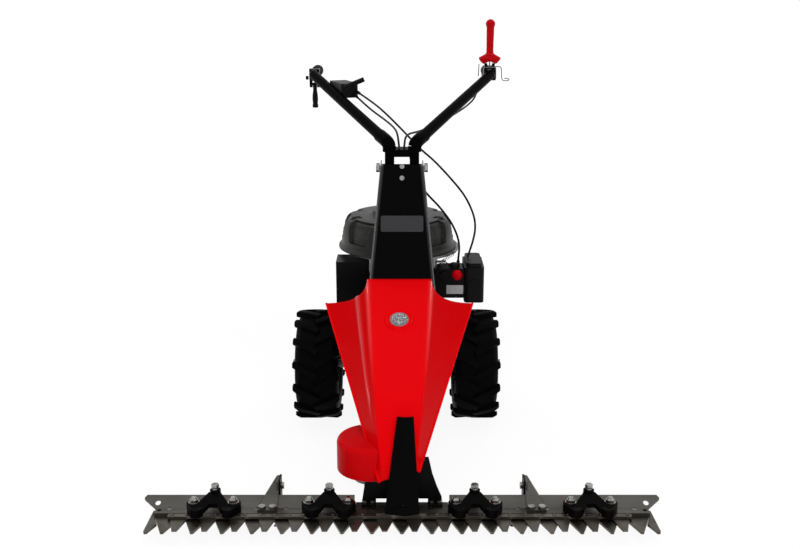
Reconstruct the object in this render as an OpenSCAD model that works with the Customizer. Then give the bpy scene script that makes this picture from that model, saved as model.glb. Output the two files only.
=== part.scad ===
// Walk-behind sickle bar mower: a wide cutter bar in front of a two-wheel engine carrier.
// Frame: +Z up, front towards -Y, ground at zero height, axle over the origin.

/* [Overall] */
// Length from finger tips to grip ends
overall_l = 1500; // [1480:10:1560]
// Tyre outer diameter
tyre_d = 325; // [318:1:332]
// Tyre width over the lugs
tyre_w = 134; // [126:1:140]
// Spacing of the tyre middles
track = 462; // [456:1:480]

/* [Cutter bar] */
// Spacing of the fingers
finger_pitch = 70; // [66:1:74]
// Number of full fingers, an odd number
finger_n = 17; // [15:2:19]
// Height of the finger underside above the ground
finger_z = 30; // [24:1:40]
// Finger thickness
finger_t = 6; // [5:0.5:8]
// Knife section thickness
section_t = 3.5; // [3:0.5:4.5]
// Crank throw, half of the knife stroke
crank_e = 30; // [22:1:32]

/* [Carrier] */
// Engine deck height
deck_z = 306; // [298:1:312]
// Axle diameter
axle_d = 25; // [20:1:30]
// Frame side thickness
side_t = 6; // [4:1:8]

/* [Hood and column] */
// Hood sheet thickness
sheet_t = 2; // [1.5:0.5:3]
// Half width of the hood corners
hood_corner_x = 198; // [185:1:205]
// Headlight lens diameter
lamp_d = 44; // [38:1:50]
// Height of the tilt bolt
tilt_z = 770; // [760:1:785]

/* [Handlebar] */
// Height of the grip middle line
handle_z = 968; // [940:1:1000]
// Half width between the grips
grip_x = 293; // [280:1:305]
// Handle tube diameter
tube_d = 32; // [28:1:34]
// Grip length
grip_l = 130; // [110:5:150]

/* [Engine] */
// Blower housing diameter
blower_d = 326; // [312:2:336]
// Height of the blower top above the deck top
blower_h = 317; // [305:1:330]

/* [Hidden] */
$fn = 48;
fine_n = 180;

// Cut overrun and clearances
over = 1;
fit = 0.3;
run = 0.08;
slide_gap = 0.4;

// Reference planes
tip_y = -overall_l / 2;
rear_y = overall_l / 2;
axle_z = tyre_d / 2;

// Fingers
finger_tip_w = 10;
finger_split = 0.6;
finger_root_w = finger_pitch - finger_split;
finger_l = 80;
finger_base_l = 18;
finger_taper = (finger_root_w - finger_tip_w) / 2 / finger_l;
finger_rear_y = tip_y + finger_l + finger_base_l;
finger_top = finger_z + finger_t;
finger_side = (finger_n - 1) / 2;
last_finger_x = finger_side * finger_pitch;
horn_w = 41;
horn_tip_x = 38;
bar_half = last_finger_x + horn_w;

// Bar beam, its sloped rear flange and its holes
beam_front_in = 69;
fold_in = 94;
fold_lap = 6;
flange_relief = 3;
beam_rear_in = 122;
beam_front_y = tip_y + beam_front_in;
fold_y = tip_y + fold_in;
beam_rear_y = tip_y + beam_rear_in;
beam_t = 10;
beam_top = finger_top + beam_t;
flange_t = 6;
flange_slope = 35.5;
flange_l = 34.4;
beam_mid_half = 112;
beam_end_in = 8;
beam_corner_out = 24;
beam_half = bar_half - beam_end_in;
beam_corner_half = bar_half + beam_corner_out;
corner_step = 6;
end_hole_d = 14;
end_hole_in = 2;
end_hole_y = 14;
small_hole_d = 10;
beam_hole_in = 11;
beam_hole_y = fold_y - beam_hole_in;

// Hexagon bolts
bolt_d = 10;
bolt_head_w = 19;
bolt_head_h = 7;
finger_bolt_in = 4;
finger_bolt_y = fold_y - finger_bolt_in;

// Knife
section_z = finger_top + slide_gap;
section_tip_w = 12;
section_root_w = 48;
section_l = 66;
section_rear_y = tip_y + section_l;
back_w = 14;
back_z = section_z + section_t;
head_lift = 0.5;
head_z = beam_top + head_lift;
back_h = head_z - back_z;
back_end_out = 3;
knife_end_in = (finger_pitch - section_root_w) / 2 - back_end_out;
knife_half = last_finger_x - knife_end_in;
head_half = 58;
head_t = 8;
head_gap = 3;
head_rear_y = fold_y - head_gap;
tongue_half = 17;

// Crank, pitman and their bearing
crank_x = -80;
crank_in = 202;
crank_y = tip_y + crank_in;
pitman_l = sqrt(crank_x * crank_x + crank_e * crank_e);
knife_shift = -crank_x - pitman_l;
pin_d = 14;
pitman_eye_d = 28;
pitman_t = 8;
pitman_w = 18;
pitman_up = 3.5;
pitman_z = head_z + head_t + pitman_up;
crank_pin_gap = 1;
crank_disc_up = 6;
crank_disc_z = pitman_z + pitman_t + crank_disc_up;
crank_disc_d = 82;
crank_disc_t = 8;
crank_disc_top = crank_disc_z + crank_disc_t;
crank_shaft_d = 20;
rail_up = 10;
rail_z = crank_disc_top + rail_up;
rail_h = 38;
rail_top = rail_z + rail_h;
crank_tube_d = 42;
crank_tube_up = 3;
crank_tube_z = crank_disc_top + crank_tube_up;
crank_lug_t = 14;
bearing_d = 46;
bearing_h = 14;

// Belts and pulleys
belt_h = 11;
belt_t = 8;
belt_sink = 0.1;
groove_gap = 0.4;
pulley_rim = 4;
pulley_lip = 5;
low_belt_up = 19;
low_belt_z = rail_top + low_belt_up;
crank_pulley_r = 44;
jack_small_r = 30;
jack_big_r = 40;
engine_groove_r = 28;
box_groove_r = 36;
drive_belt_down = 24;
belt_step = 30;
drive_belt_z = deck_z - drive_belt_down;
up_belt_z = drive_belt_z - belt_step;
shaft_d = 25;
shaft_below = 14;
shaft_low_z = up_belt_z - shaft_below;
shaft_in = 60;

// Crank cover
cover_d = 164;
cover_wall = 2.5;
cover_floor_t = 3;
cover_drop = 26;
cover_rise = 56;
cover_round = 14;

// Frame, deck and cross plate
side_x = 58;
mount_y = beam_rear_y;
mount_t = 6;
tall_front_y = -290;
tall_rear_y = 165;
tall_window_y = -190;
tall_window_d = 90;
deck_t = 6;
deck_top = deck_z + deck_t;
deck_half = 110;
deck_lip = 18;
deck_hole_d = 64;
deck_front_y = -385;
jack_y = -330;
cross_t = 6;
cross_front = 55;
cross_rear = 38;
cross_z = rail_top;

// Bar mount
foot_in = 63;
foot_out = 98;
foot_front = 25;
foot_t = 7;
mount_bridge_gap = 4;
mount_bridge_z = head_z + head_t + mount_bridge_gap;
mount_top_z = 168;
mount_top_half = 64;
mount_tip_in = 55;
mount_left_drop = 28;
mount_left_top = rail_top - mount_left_drop;
mount_left_in = 58;
mount_left_out = 90;
mount_curve_shares = [[0, 0], [0.05, 0.14], [0.38, 0.36], [0.72, 0.64], [1, 1]];
mount_bolt_xs = [-90, -72, 72, 90];
mount_bolt_in = 14;
mount_bolt_w = 15;

// Divider
divider_in = 44;
divider_up = 2.5;
divider_top_in = 136;
divider_bottom_y = tip_y + divider_in;
divider_bottom_z = head_z + head_t + divider_up;
divider_top_y = tip_y + divider_top_in;
divider_top_z = 265;
divider_bottom_half = 41;
divider_top_half = 20;
divider_top_shift = 8;
divider_ridge = 10;
divider_ridge_x = 7;
divider_t = 4;
divider_web_t = 6;
divider_web_low = 88;
divider_web_high = 122;
divider_web_in = 51;
divider_web_y = tip_y + divider_web_in;
divider_web_lean = 15;
divider_hole_d = 9;
divider_hole_up = 24;

// Knife hold-downs
clip_shares = [-0.75, -0.292, 0.292, 0.75];
clip_bolt_x = 47;
clip_bolt_in = 14;
clip_boss_d = 36;
clip_boss_t = 22;
clip_seat_d = 20;
clip_bolt_y = fold_y - clip_bolt_in;
clip_pad_z = head_z + slide_gap;
clip_pad_x = 38;
clip_pad_d = 30;
clip_pad_back = 10;
clip_pad_y = section_rear_y - clip_pad_back;
clip_apex_back = 14;
clip_apex_up = 24;
clip_apex_y = fold_y + clip_apex_back;
clip_apex_z = beam_top + clip_apex_up;
clip_apex_d = 26;
clip_apex_t = 18;
clip_web_z = 52;
clip_web_a = 22;
clip_web_t = 14;
clip_web_half = 50;
clip_web_l = 54;
clip_arch_half = 20;
clip_arch_top = 9;
clip_arch_h = 18;
clip_screw_d = 9;
clip_screw_up = 2;
clip_nut_h = 6;
clip_nut_w = 19;
clip_head_w = 22;
clip_head_h = 9;
clip_washer_d = 27;
clip_washer_t = 3;
clip_dome_h = 6;
clip_dome_d = 18;
clip_dome_top = 11;

// Skids and their brackets
skid_share = 0.5;
skid_at = skid_share * bar_half;
skid_w = 46;
skid_t = 5;
skid_back_in = 215;
skid_front_in = 92;
skid_back_y = tip_y + skid_back_in;
skid_front_y = tip_y + skid_front_in;
skid_toe_l = 34;
skid_toe_up = 16;
skid_strip_t = 5;
skid_strip_w = 34;
skid_strip_gap = 4;
skid_strip_y = beam_rear_y + skid_strip_gap;
skid_strip_top = 102;
skid_bolt_z = 80;
skid_slot_w = 10;
skid_slot_l = 20;
bracket_t = 5;
bracket_out = 46;
bracket_top = 98;
bracket_low = 60;
bracket_lean = flange_slope;
bracket_over = 50;
bracket_rise = flange_l + bracket_over;
bracket_cut = 40;

// Wheels
rim_d = 158;
rim_w = 108;
rim_wall = 4;
rim_lip = 7;
rim_disc_x = 12;
hub_d = 54;
hub_l = 62;
lug_n = 14;
lug_h = 13;
lug_w = 18;
lug_skew = 30;
lug_l = 84;
lug_sink = 6;
lug_round = 12;
lug_mid_share = 0.47;
carcass_r = axle_z - lug_h;
carcass_shares = [[0.69, 0], [0.69, 0.13], [0.90, 0.36], [0.94, 0.62], [0.86, 0.86], [0.70, 1]];
cavity_shares = [[0.55, 0], [0.55, 0.15], [0.76, 0.38], [0.80, 0.60], [0.72, 0.78], [0.5, 0.86]];
bead_r = rim_d / 2 + fit;
wheel_bolt_n = 5;
wheel_bolt_r = 44;
wheel_bolt_head = 16;
wheel_bolt_h = 8;
axle_end = 12;
wheel_off = -16;

// Gearbox
box_half = side_x - side_t - fit;
box_front_y = -112;
box_rear_y = 72;
box_low_z = 104;
box_top_z = 212;
box_round = 24;
box_neck_h = 12;
input_y = -72;
input_d = 20;
axle_tube_d = 50;
axle_tube_l = 88;
box_flange_t = 8;
box_flange_d = 84;

// Hood outline and headlight
hood_nose_in = 95;
hood_ctrl_in = 150;
hood_nose_y = tip_y + hood_nose_in;
hood_nose_z = 131;
hood_nose_half = 40;
hood_ctrl_y = tip_y + hood_ctrl_in;
hood_ctrl_z = 320;
hood_top_y = -214;
hood_top_z = 491;
hood_top_half = 88;
hood_corner_y = -234;
hood_corner_z = 428;
hood_low_out = 8;
hood_low_back = 3;
hood_low_drop = 6;
hood_rows = 14;
hood_wing_cols = 5;
hood_dip = 0.146;
hood_dip_bend = 0.45;
hood_spread = 1.7;
hood_off = -7;
hood_skew = 14;
hood_in = [0, sheet_t / sqrt(2), -sheet_t / sqrt(2)];
hood_hem_d = 6;
hood_foot = [hood_nose_half + hood_low_out, hood_nose_y + hood_low_back, hood_nose_z - hood_low_drop];
hood_corner = [hood_corner_x, hood_corner_y, hood_corner_z];
hood_cols = 2 * (hood_wing_cols + 1);
hood_m = hood_rows + 1;
hood_n = hood_cols * hood_m;
lamp_share = 0.803;
lamp_ring_w = 34;
lamp_ring_d = lamp_d + lamp_ring_w;
lamp_ring_t = 6;
lamp_sink = 3;
lamp_dish_z = -2;
lamp_depth = 34;
lamp_wall = 2;
lens_t = 7;
lens_seat = 4;
lens_ball_r = 60;

// Column
col_t = 3;
col_top_y = -110;
col_top_z = 786;
col_top_half = 59;
col_foot_half = 107;
col_depth = 64;
col_gap = 2.2;
col_lean = (col_top_y - hood_top_y) / (col_top_z - hood_top_z);
col_angle = atan(col_lean);
function col_face_y(z) = hood_top_y + col_gap + (z - hood_top_z) * col_lean;
function col_half(z) =
  col_foot_half + (z - deck_top) * (col_top_half - col_foot_half) / (col_top_z - deck_top);
col_foot_flange = 40;
col_lip_h = 8;
col_lip_d = 5;
column_screw_zs = [780, 750];
plate_w = 116;
plate_h = 44;
plate_t = 1.2;
plate_round = 5;
plate_z = 632;
screw_head_d = 13;
screw_head_h = 4;

// Yoke and tilt bolt
tilt_back = 40;
tilt_y = col_top_y + tilt_back;
yoke_half = 47;
yoke_cheek_t = 6;
yoke_up = 54;
yoke_top_z = tilt_z + yoke_up;
yoke_depth = 56;
yoke_low_up = 10;
yoke_low_z = tilt_z + yoke_low_up;
yoke_drop = 18;
yoke_window_half = 21;
yoke_window_h = 20;
yoke_sill = 4;
tilt_bolt_d = 12;
tilt_head_w = 26;
tilt_head_h = 10;
tilt_sleeve_d = 22;
tilt_ear_x = col_half(tilt_z - tilt_head_w / 2);
tilt_in_x = col_half(tilt_z + tilt_sleeve_d / 2) - col_t;

// Handle tubes and grips
arm_root_x = 38;
arm_root_back = 4;
arm_root_up = 14;
arm_start = [arm_root_x, tilt_y + arm_root_back, yoke_top_z + arm_root_up];
bend_r = 60;
bend_lap = 3;
grip_d = 38;
grip_cap = 4;
lever_room = 62;
arm_end_y = rear_y - grip_l - lever_room;
arm_end = [grip_x, arm_end_y, handle_z];
tube_wall = 2.5;
arm_v = arm_end - arm_start;
arm_dir = arm_v / norm(arm_v);
grip_dir = [0, 1, 0];
bend_a = acos(arm_dir * grip_dir);
bend_cut = bend_r * tan(bend_a / 2);
bend_m = (grip_dir - (arm_dir * grip_dir) * arm_dir) / sin(bend_a);
bend_p = arm_end - bend_cut * arm_dir;
bend_c = bend_p + bend_r * bend_m;
bend_n = cross(-bend_m, arm_dir);

// Controls
console_x = -184;
console_y = 380;
console_z = 940;
console_w = 56;
console_d = 120;
console_h = 44;
console_round = 8;
console_a = atan2(arm_v[0], arm_v[1]);
throttle_at = [-178, 314, 951.8];
throttle_in = 14;
throttle_l = 66;
throttle_stem = 9;
throttle_a = 22;
lever_d = 15;
lever_in = 24;
lever_y = rear_y - grip_l - lever_in;
tab_w = 22;
tab_half = 17;
lever_slot = 16;
slot_drop = 12;
clutch_down = 34;
clutch_pin_z = handle_z - clutch_down;
clutch_hang = 68;
clutch_d = 14;
clutch_neck = 22;
clutch_grip_d = 18;
clutch_knob = 6;
clutch_pin_d = 8;
clutch_block = 34;
red_up = 24;
red_pin_z = handle_z + red_up;
red_d = 25;
red_ball_d = 31;
red_top_z = 1146;
red_flange_w = 74;
red_flange_d = 30;
red_flange_t = 8;
red_flange_z = 14;
red_block = 40;

// Cables
cable_d = 6;
cable_sides = 8;
cable_steps = 2;
cage_cable_left = [[-147, 326, 927], [-95, 240, 892], [-45, 130, 872], [-20, 20, 866], [-12, -30, 856],
  [-8, -60, 826.6]];
cage_cable_right = [[269, 590, 940], [250, 560, 915], [240, 530, 893], [214, 480, 876], [170, 380, 862],
  [100, 200, 850], [45, 60, 850], [10, -20, 855], [6, -60, 826.6]];
throttle_cable = [[-139, 330, 936], [-97, 250, 918], [-60, 170, 901], [0, 110, 850], [54, 90, 795],
  [91, 70, 768], [138, 50, 721], [183, 40, 669], [208, 20, 618], [213, 0, 584], [206, -20, 551], [188, -45, 506]];
carb_cable = [[22, -62, 816.6], [24, -58, 785], [36, -48, 745], [52, -48, 715], [73, -60, 690],
  [107, -62, 656], [144, -66, 607], [164, -70, 554], [160, -68, 504.8]];

// Engine block
engine_y = 40;
crank_case_half = 92;
case_h = 92;
case_round = 22;
case_front = 86;
case_rear = 98;
fin_n = 7;
fin_t = 3;
fin_gap = 6.5;
fin_half = 78;
fin_low = 30;
fin_h = 118;
head_block_t = 16;
barrel_half = 58;
barrel_low = 42;
barrel_h = 94;
neck_d = 210;

// Blower housing and starter
lip_out = 18;
blower_off = -13;
lip_d = blower_d + lip_out;
lip_up = 208;
lip_t = 7;
blower_wall = 3;
blower_top_z = deck_top + blower_h;
blower_low_z = deck_top + lip_up;
blower_round = 64;
window_n = 12;
window_w = 34;
window_h = 46;
window_in = 5;
window_up = 18;
starter_d = 150;
starter_h = 10;
starter_up = 50;
starter_grip_z = blower_low_z + starter_up;
starter_post_l = 26;
starter_bar_l = 70;

// Muffler and guard
muffler_w = 84;
muffler_l = 76;
muffler_h = 112;
muffler_x = -178;
muffler_y = -98;
muffler_up = 76;
muffler_z = deck_top + muffler_up;
muffler_round = 16;
pipe_d = 40;
guard_t = 2;
guard_gap = 6;
guard_edge = 12;
guard_slots = 7;
guard_slot_w = 6;
post_shares = [0.3, 0.7];

// Carburettor box, primer bulb and air filter
carb_x = 92;
carb_w = 84;
carb_h = 104;
carb_y = -98;
carb_l = 62;
carb_up = 88;
carb_z = deck_top + carb_up;
carb_round = 6;
primer_d = 30;
primer_h = 14;
primer_x = 156;
primer_up = 68;
primer_seat = 6;
primer_travel = 5;
primer_ball_r = 16;
choke_d = 24;
choke_h = 10;
choke_x = 118;
choke_up = 72;
choke_slot = 4;
filter_x = carb_x + carb_w;
filter_w = 56;
filter_l = 130;
filter_h = 114;
filter_y = -112;
filter_up = 78;
filter_z = deck_top + filter_up;
filter_lid_t = 12;
filter_round = 12;

// Fuel tank, caps and spark plug boot
tank_w = 190;
tank_l = 112;
tank_h = 90;
tank_up = 96;
tank_y = engine_y + neck_d / 2;
tank_z = deck_top + tank_up;
tank_round = 24;
tank_cap_x = 50;
cap_d = 46;
cap_h = 18;
oil_x = 85;
oil_y = 120;
oil_h = 30;
oil_cap_h = 12;
oil_cap_d = 22;
oil_tube_d = 16;
plug_d = 22;
plug_l = 34;

// Shared shapes

module rod(a, b, d) {
  v = b - a;
  translate(a)
    rotate([0, acos(v[2] / norm(v)), atan2(v[1], v[0])])
      cylinder(h = norm(v), d = d);
}

module round_rect(w, l, r) {
  square([w - 2 * r, l], center = true);
  square([w, l - 2 * r], center = true);
  for (x = [-1, 1], y = [-1, 1])
    translate([x * (w / 2 - r), y * (l / 2 - r)])
      circle(r = r);
}

module hex_bolt(d, grip, head_w, head_h) {
  cylinder(h = head_h, d = head_w, $fn = 6);
  translate([0, 0, -grip])
    cylinder(h = grip + over, d = d);
}

module loop2d(a, ra, b, rb) {
  d = norm(b - a);
  turn = atan2(b[1] - a[1], b[0] - a[0]);
  lean = acos((ra - rb) / d);
  up = [cos(turn + lean), sin(turn + lean)];
  down = [cos(turn - lean), sin(turn - lean)];
  translate(a)
    circle(r = ra);
  translate(b)
    circle(r = rb);
  polygon([a + ra * up, b + rb * up, b + rb * down, a + ra * down]);
}

module belt_arc(c, r, from, sweep) {
  translate(c)
    rotate(from)
      rotate_extrude(angle = sweep)
        translate([r, -belt_h / 2])
          square([belt_t, belt_h]);
}

module belt_run(c, r, out, along, length) {
  translate([c[0] + (r + belt_sink) * cos(out), c[1] + (r + belt_sink) * sin(out), belt_sink - belt_h / 2])
    rotate(out)
      translate([0, along > 0 ? -over : -length - over, 0])
        cube([belt_t - 2 * belt_sink, length + 2 * over, belt_h - 2 * belt_sink]);
}

module belt(a, ra, b, rb, z) {
  d = norm(b - a);
  turn = atan2(b[1] - a[1], b[0] - a[0]);
  lean = acos((ra - rb) / d);
  length = d * sin(lean);
  translate([0, 0, z]) {
    belt_arc(a, ra + groove_gap, turn + lean, 360 - 2 * lean);
    belt_arc(b, rb + groove_gap, turn - lean, 2 * lean);
    belt_run(a, ra + groove_gap, turn + lean, -1, length);
    belt_run(a, ra + groove_gap, turn - lean, 1, length);
  }
}

module groove(r, z) {
  translate([0, 0, z - belt_h / 2 - pulley_rim])
    cylinder(h = pulley_rim - groove_gap, r = r + belt_t + pulley_lip);
  translate([0, 0, z - belt_h / 2 - over])
    cylinder(h = belt_h + 2 * over, r = r);
  translate([0, 0, z + belt_h / 2 + groove_gap])
    cylinder(h = pulley_rim - groove_gap, r = r + belt_t + pulley_lip);
}

// Cutter bar

module finger_outline() {
  polygon([[-finger_tip_w / 2, tip_y + finger_tip_w / 2], [finger_tip_w / 2, tip_y + finger_tip_w / 2],
    [finger_root_w / 2, tip_y + finger_l], [finger_root_w / 2, finger_rear_y],
    [-finger_root_w / 2, finger_rear_y], [-finger_root_w / 2, tip_y + finger_l]]);
  translate([0, tip_y + finger_tip_w / 2])
    circle(d = finger_tip_w);
}

module horn_outline() {
  notch_y = tip_y + (horn_tip_x - finger_tip_w - finger_split) / 2 / finger_taper;
  notch_x = finger_tip_w / 2 + finger_taper * (notch_y - tip_y) + finger_split;
  polygon([[horn_tip_x - finger_tip_w / 2, tip_y + finger_tip_w / 2],
    [horn_tip_x + finger_tip_w / 2, tip_y + finger_tip_w / 2], [horn_w, finger_rear_y],
    [finger_pitch / 2 + finger_split, finger_rear_y], [finger_pitch / 2 + finger_split, tip_y + finger_l],
    [notch_x, notch_y]]);
  translate([horn_tip_x, tip_y + finger_tip_w / 2])
    circle(d = finger_tip_w);
}

module fingers() {
  color([0.36, 0.36, 0.35])
    translate([0, 0, finger_z])
      difference() {
        linear_extrude(finger_t) {
          for (k = [-finger_side:finger_side])
            translate([k * finger_pitch, 0])
              finger_outline();
          translate([last_finger_x, 0])
            horn_outline();
          mirror([1, 0])
            translate([last_finger_x, 0])
              horn_outline();
        }
        for (k = [-finger_side:finger_side])
          translate([k * finger_pitch, finger_bolt_y, -over])
            cylinder(h = finger_t + 2 * over, d = bolt_d + 2 * fit);
      }
}

module beam_folded() {
  run_y = fold_y + flange_l * cos(flange_slope);
  run_z = beam_top + flange_l * sin(flange_slope);
  wedge_y = flange_t * sin(flange_slope);
  intersection() {
    translate([-beam_corner_half, 0, 0])
      rotate([90, 0, 90])
        linear_extrude(2 * beam_corner_half)
          polygon([[beam_front_y, finger_top], [fold_y, finger_top],
            [fold_y, beam_top - flange_t / cos(flange_slope)],
            [run_y + wedge_y, run_z - flange_t * cos(flange_slope)], [run_y, run_z], [fold_y, beam_top],
            [beam_front_y, beam_top]]);
    linear_extrude(2 * run_z)
      polygon([[-beam_half, beam_front_y - over], [beam_half, beam_front_y - over], [beam_half, fold_y],
        [beam_corner_half, run_y - corner_step],
        [beam_corner_half - corner_step - flange_t, run_y + flange_t],
        [corner_step + flange_t - beam_corner_half, run_y + flange_t],
        [-beam_corner_half, run_y - corner_step],
        [-beam_half, fold_y]]);
  }
}

module bar_beam() {
  color([0.40, 0.40, 0.39])
    difference() {
      union() {
        difference() {
          beam_folded();
          translate([-beam_mid_half - flange_relief, fold_y, 0])
            cube([2 * (beam_mid_half + flange_relief), 2 * flange_l, 2 * beam_top]);
        }
        translate([-beam_mid_half, fold_y - fold_lap, finger_top])
          cube([2 * beam_mid_half, beam_rear_y - fold_y + fold_lap, beam_t]);
      }
      for (s = [-1, 1]) {
        translate([s * (beam_half - end_hole_in), fold_y, beam_top])
          rotate([flange_slope, 0, 0])
            translate([0, end_hole_y, -flange_t - over])
              cylinder(h = flange_t + 2 * over, d = end_hole_d);
        translate([s * (beam_half - small_hole_d), beam_hole_y, finger_top + beam_t / 2])
          cylinder(h = beam_t, d = small_hole_d);
      }
      for (k = [-finger_side:finger_side])
        translate([k * finger_pitch, finger_bolt_y, finger_top - over])
          cylinder(h = beam_t + 2 * over, d = bolt_d + 2 * fit);
      for (c = clip_shares, s = [-1, 1])
        translate([c * bar_half + s * clip_bolt_x, clip_bolt_y, finger_top - over])
          cylinder(h = beam_t + 2 * over, d = bolt_d + 2 * fit);
      for (x = mount_bolt_xs)
        translate([x, mount_y - mount_bolt_in, finger_top - over])
          cylinder(h = beam_t + 2 * over, d = bolt_d + 2 * fit);
    }
}

module knife_sections() {
  color([0.55, 0.55, 0.54])
    translate([knife_shift, 0, section_z])
      linear_extrude(section_t)
        for (k = [-finger_side:finger_side - 1])
          translate([(k + 0.5) * finger_pitch, 0])
            polygon([[-section_tip_w / 2, tip_y], [section_tip_w / 2, tip_y],
              [section_root_w / 2, section_rear_y], [-section_root_w / 2, section_rear_y]]);
}

module knife_back() {
  color([0.45, 0.45, 0.44])
    translate([knife_shift - knife_half, section_rear_y - back_w, back_z])
      cube([2 * knife_half, back_w, back_h]);
}

module knife_head() {
  color([0.72, 0.72, 0.70]) {
    translate([0, 0, head_z])
      linear_extrude(head_t)
        union() {
          translate([-head_half, section_rear_y - back_w])
            square([2 * head_half, head_rear_y - section_rear_y + back_w]);
          translate([-tongue_half, head_rear_y - over])
            square([2 * tongue_half, crank_y - head_rear_y + over]);
          translate([0, crank_y])
            circle(r = tongue_half);
        }
    translate([0, crank_y, head_z + head_t - over])
      cylinder(h = pitman_z + pitman_t + crank_pin_gap - head_z - head_t + over, d = pin_d);
  }
}

module hold_down() {
  difference() {
    union() {
      for (s = [-1, 1]) {
        translate([s * clip_bolt_x, clip_bolt_y, beam_top])
          cylinder(h = clip_boss_t / 2, d = clip_seat_d);
        translate([0, 0, clip_pad_z])
          linear_extrude(beam_top + clip_boss_t - clip_pad_z)
            loop2d([s * clip_bolt_x, clip_bolt_y], clip_boss_d / 2,
              [s * clip_pad_x, clip_pad_y], clip_pad_d / 2);
      }
      translate([0, clip_pad_y, clip_web_z])
        rotate([clip_web_a, 0, 0])
          linear_extrude(clip_web_t)
            polygon([[-clip_web_half, 0], [-clip_arch_half, 0], [-clip_arch_top, clip_arch_h],
              [clip_arch_top, clip_arch_h], [clip_arch_half, 0], [clip_web_half, 0],
              [clip_web_t, clip_web_l], [-clip_web_t, clip_web_l]]);
      translate([0, clip_apex_y, clip_apex_z])
        cylinder(h = clip_apex_t, d = clip_apex_d);
    }
    translate([-2 * clip_bolt_x, fold_y, beam_top + slide_gap])
      rotate([flange_slope, 0, 0])
        translate([0, -over, -2 * flange_l])
          cube([4 * clip_bolt_x, 2 * flange_l, 2 * flange_l]);
    for (s = [-1, 1])
      translate([s * clip_bolt_x, clip_bolt_y, beam_top - over])
        cylinder(h = clip_boss_t + 2 * over, d = bolt_d + 2 * fit);
    translate([0, clip_apex_y, beam_top])
      cylinder(h = clip_apex_z, d = clip_screw_d + 2 * fit);
  }
}

module hold_downs() {
  color([0.08, 0.08, 0.08])
    for (c = clip_shares)
      translate([c * bar_half, 0, 0])
        hold_down();
}

module hold_down_bolts() {
  color([0.30, 0.30, 0.31])
    for (c = clip_shares)
      translate([c * bar_half, 0, 0]) {
        for (s = [-1, 1])
          translate([s * clip_bolt_x, clip_bolt_y, beam_top + clip_boss_t]) {
            hex_bolt(bolt_d, clip_boss_t + beam_t, clip_head_w, clip_head_h);
            cylinder(h = clip_washer_t, d = clip_washer_d);
            translate([0, 0, clip_head_h - over])
              cylinder(h = clip_dome_h + over, d1 = clip_dome_d, d2 = clip_dome_top);
          }
        translate([0, clip_apex_y, clip_apex_z + clip_apex_t]) {
          cylinder(h = clip_nut_h, d = clip_nut_w, $fn = 6);
          translate([0, 0, clip_nut_h + clip_screw_up])
            cylinder(h = clip_nut_h, d = clip_nut_w, $fn = 6);
          translate([0, 0, -clip_apex_t - clip_screw_up])
            cylinder(h = clip_apex_t + clip_nut_h + 2 * clip_screw_up + over, d = clip_screw_d);
        }
      }
}

module skid_bracket() {
  difference() {
    union() {
      translate([skid_at, 0, 0])
        rotate([90, 0, 90])
          linear_extrude(bracket_out)
            polygon([[beam_front_y + skid_t, beam_top], [fold_y, beam_top],
              [fold_y + bracket_rise * cos(bracket_lean), beam_top + bracket_rise * sin(bracket_lean)],
              [fold_y + bracket_rise * cos(bracket_lean) - bracket_t * sin(bracket_lean),
                beam_top + bracket_rise * sin(bracket_lean) + bracket_t * cos(bracket_lean)],
              [fold_y - bracket_t * tan(bracket_lean / 2), beam_top + bracket_t],
              [beam_front_y + skid_t, beam_top + bracket_t]]);
      translate([skid_at, 0, 0])
        rotate([90, 0, 90])
          linear_extrude(bracket_t)
            polygon([[skid_strip_y, bracket_low], [skid_strip_y + skid_strip_w, bracket_low],
              [skid_strip_y + skid_strip_w, bracket_top], [skid_strip_y, bracket_top]]);
    }
    translate([skid_at + bracket_out, fold_y - over, beam_top + bracket_t])
      rotate([0, -bracket_cut, 0])
        cube([2 * bracket_out, 2 * bracket_rise, 2 * bracket_rise]);
    translate([skid_at - over, skid_strip_y + skid_strip_w / 2, skid_bolt_z])
      rotate([0, 90, 0])
        cylinder(h = bracket_t + 2 * over, d = bolt_d + 2 * fit);
    for (x = [small_hole_d, bracket_out - small_hole_d])
      translate([skid_at + x, beam_hole_y, beam_top - over])
        cylinder(h = bracket_t + 2 * over, d = bolt_d + 2 * fit);
  }
}

module skid_brackets() {
  color([0.10, 0.10, 0.10]) {
    skid_bracket();
    mirror([1, 0, 0])
      skid_bracket();
  }
}

module skid() {
  translate([skid_at - skid_w + bracket_t, skid_front_y, 0])
    cube([skid_w, skid_back_y - skid_front_y, skid_t]);
  translate([skid_at - skid_w + bracket_t, 0, 0])
    rotate([90, 0, 90])
      linear_extrude(skid_w)
        polygon([[skid_front_y, 0], [skid_front_y, skid_t], [skid_front_y - skid_toe_l, skid_t + skid_toe_up],
          [skid_front_y - skid_toe_l, skid_toe_up]]);
  difference() {
    translate([skid_at - skid_strip_t, skid_strip_y, 0])
      cube([skid_strip_t, skid_strip_w, skid_strip_top]);
    translate([skid_at - skid_strip_t - over, skid_strip_y + skid_strip_w / 2, skid_bolt_z])
      rotate([0, 90, 0])
        linear_extrude(skid_strip_t + 2 * over) {
          square([skid_slot_l, skid_slot_w], center = true);
          translate([skid_slot_l / 2, 0])
            circle(d = skid_slot_w);
          translate([-skid_slot_l / 2, 0])
            circle(d = skid_slot_w);
        }
  }
}

module skids() {
  color([0.14, 0.14, 0.14]) {
    skid();
    mirror([1, 0, 0])
      skid();
  }
}

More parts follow.
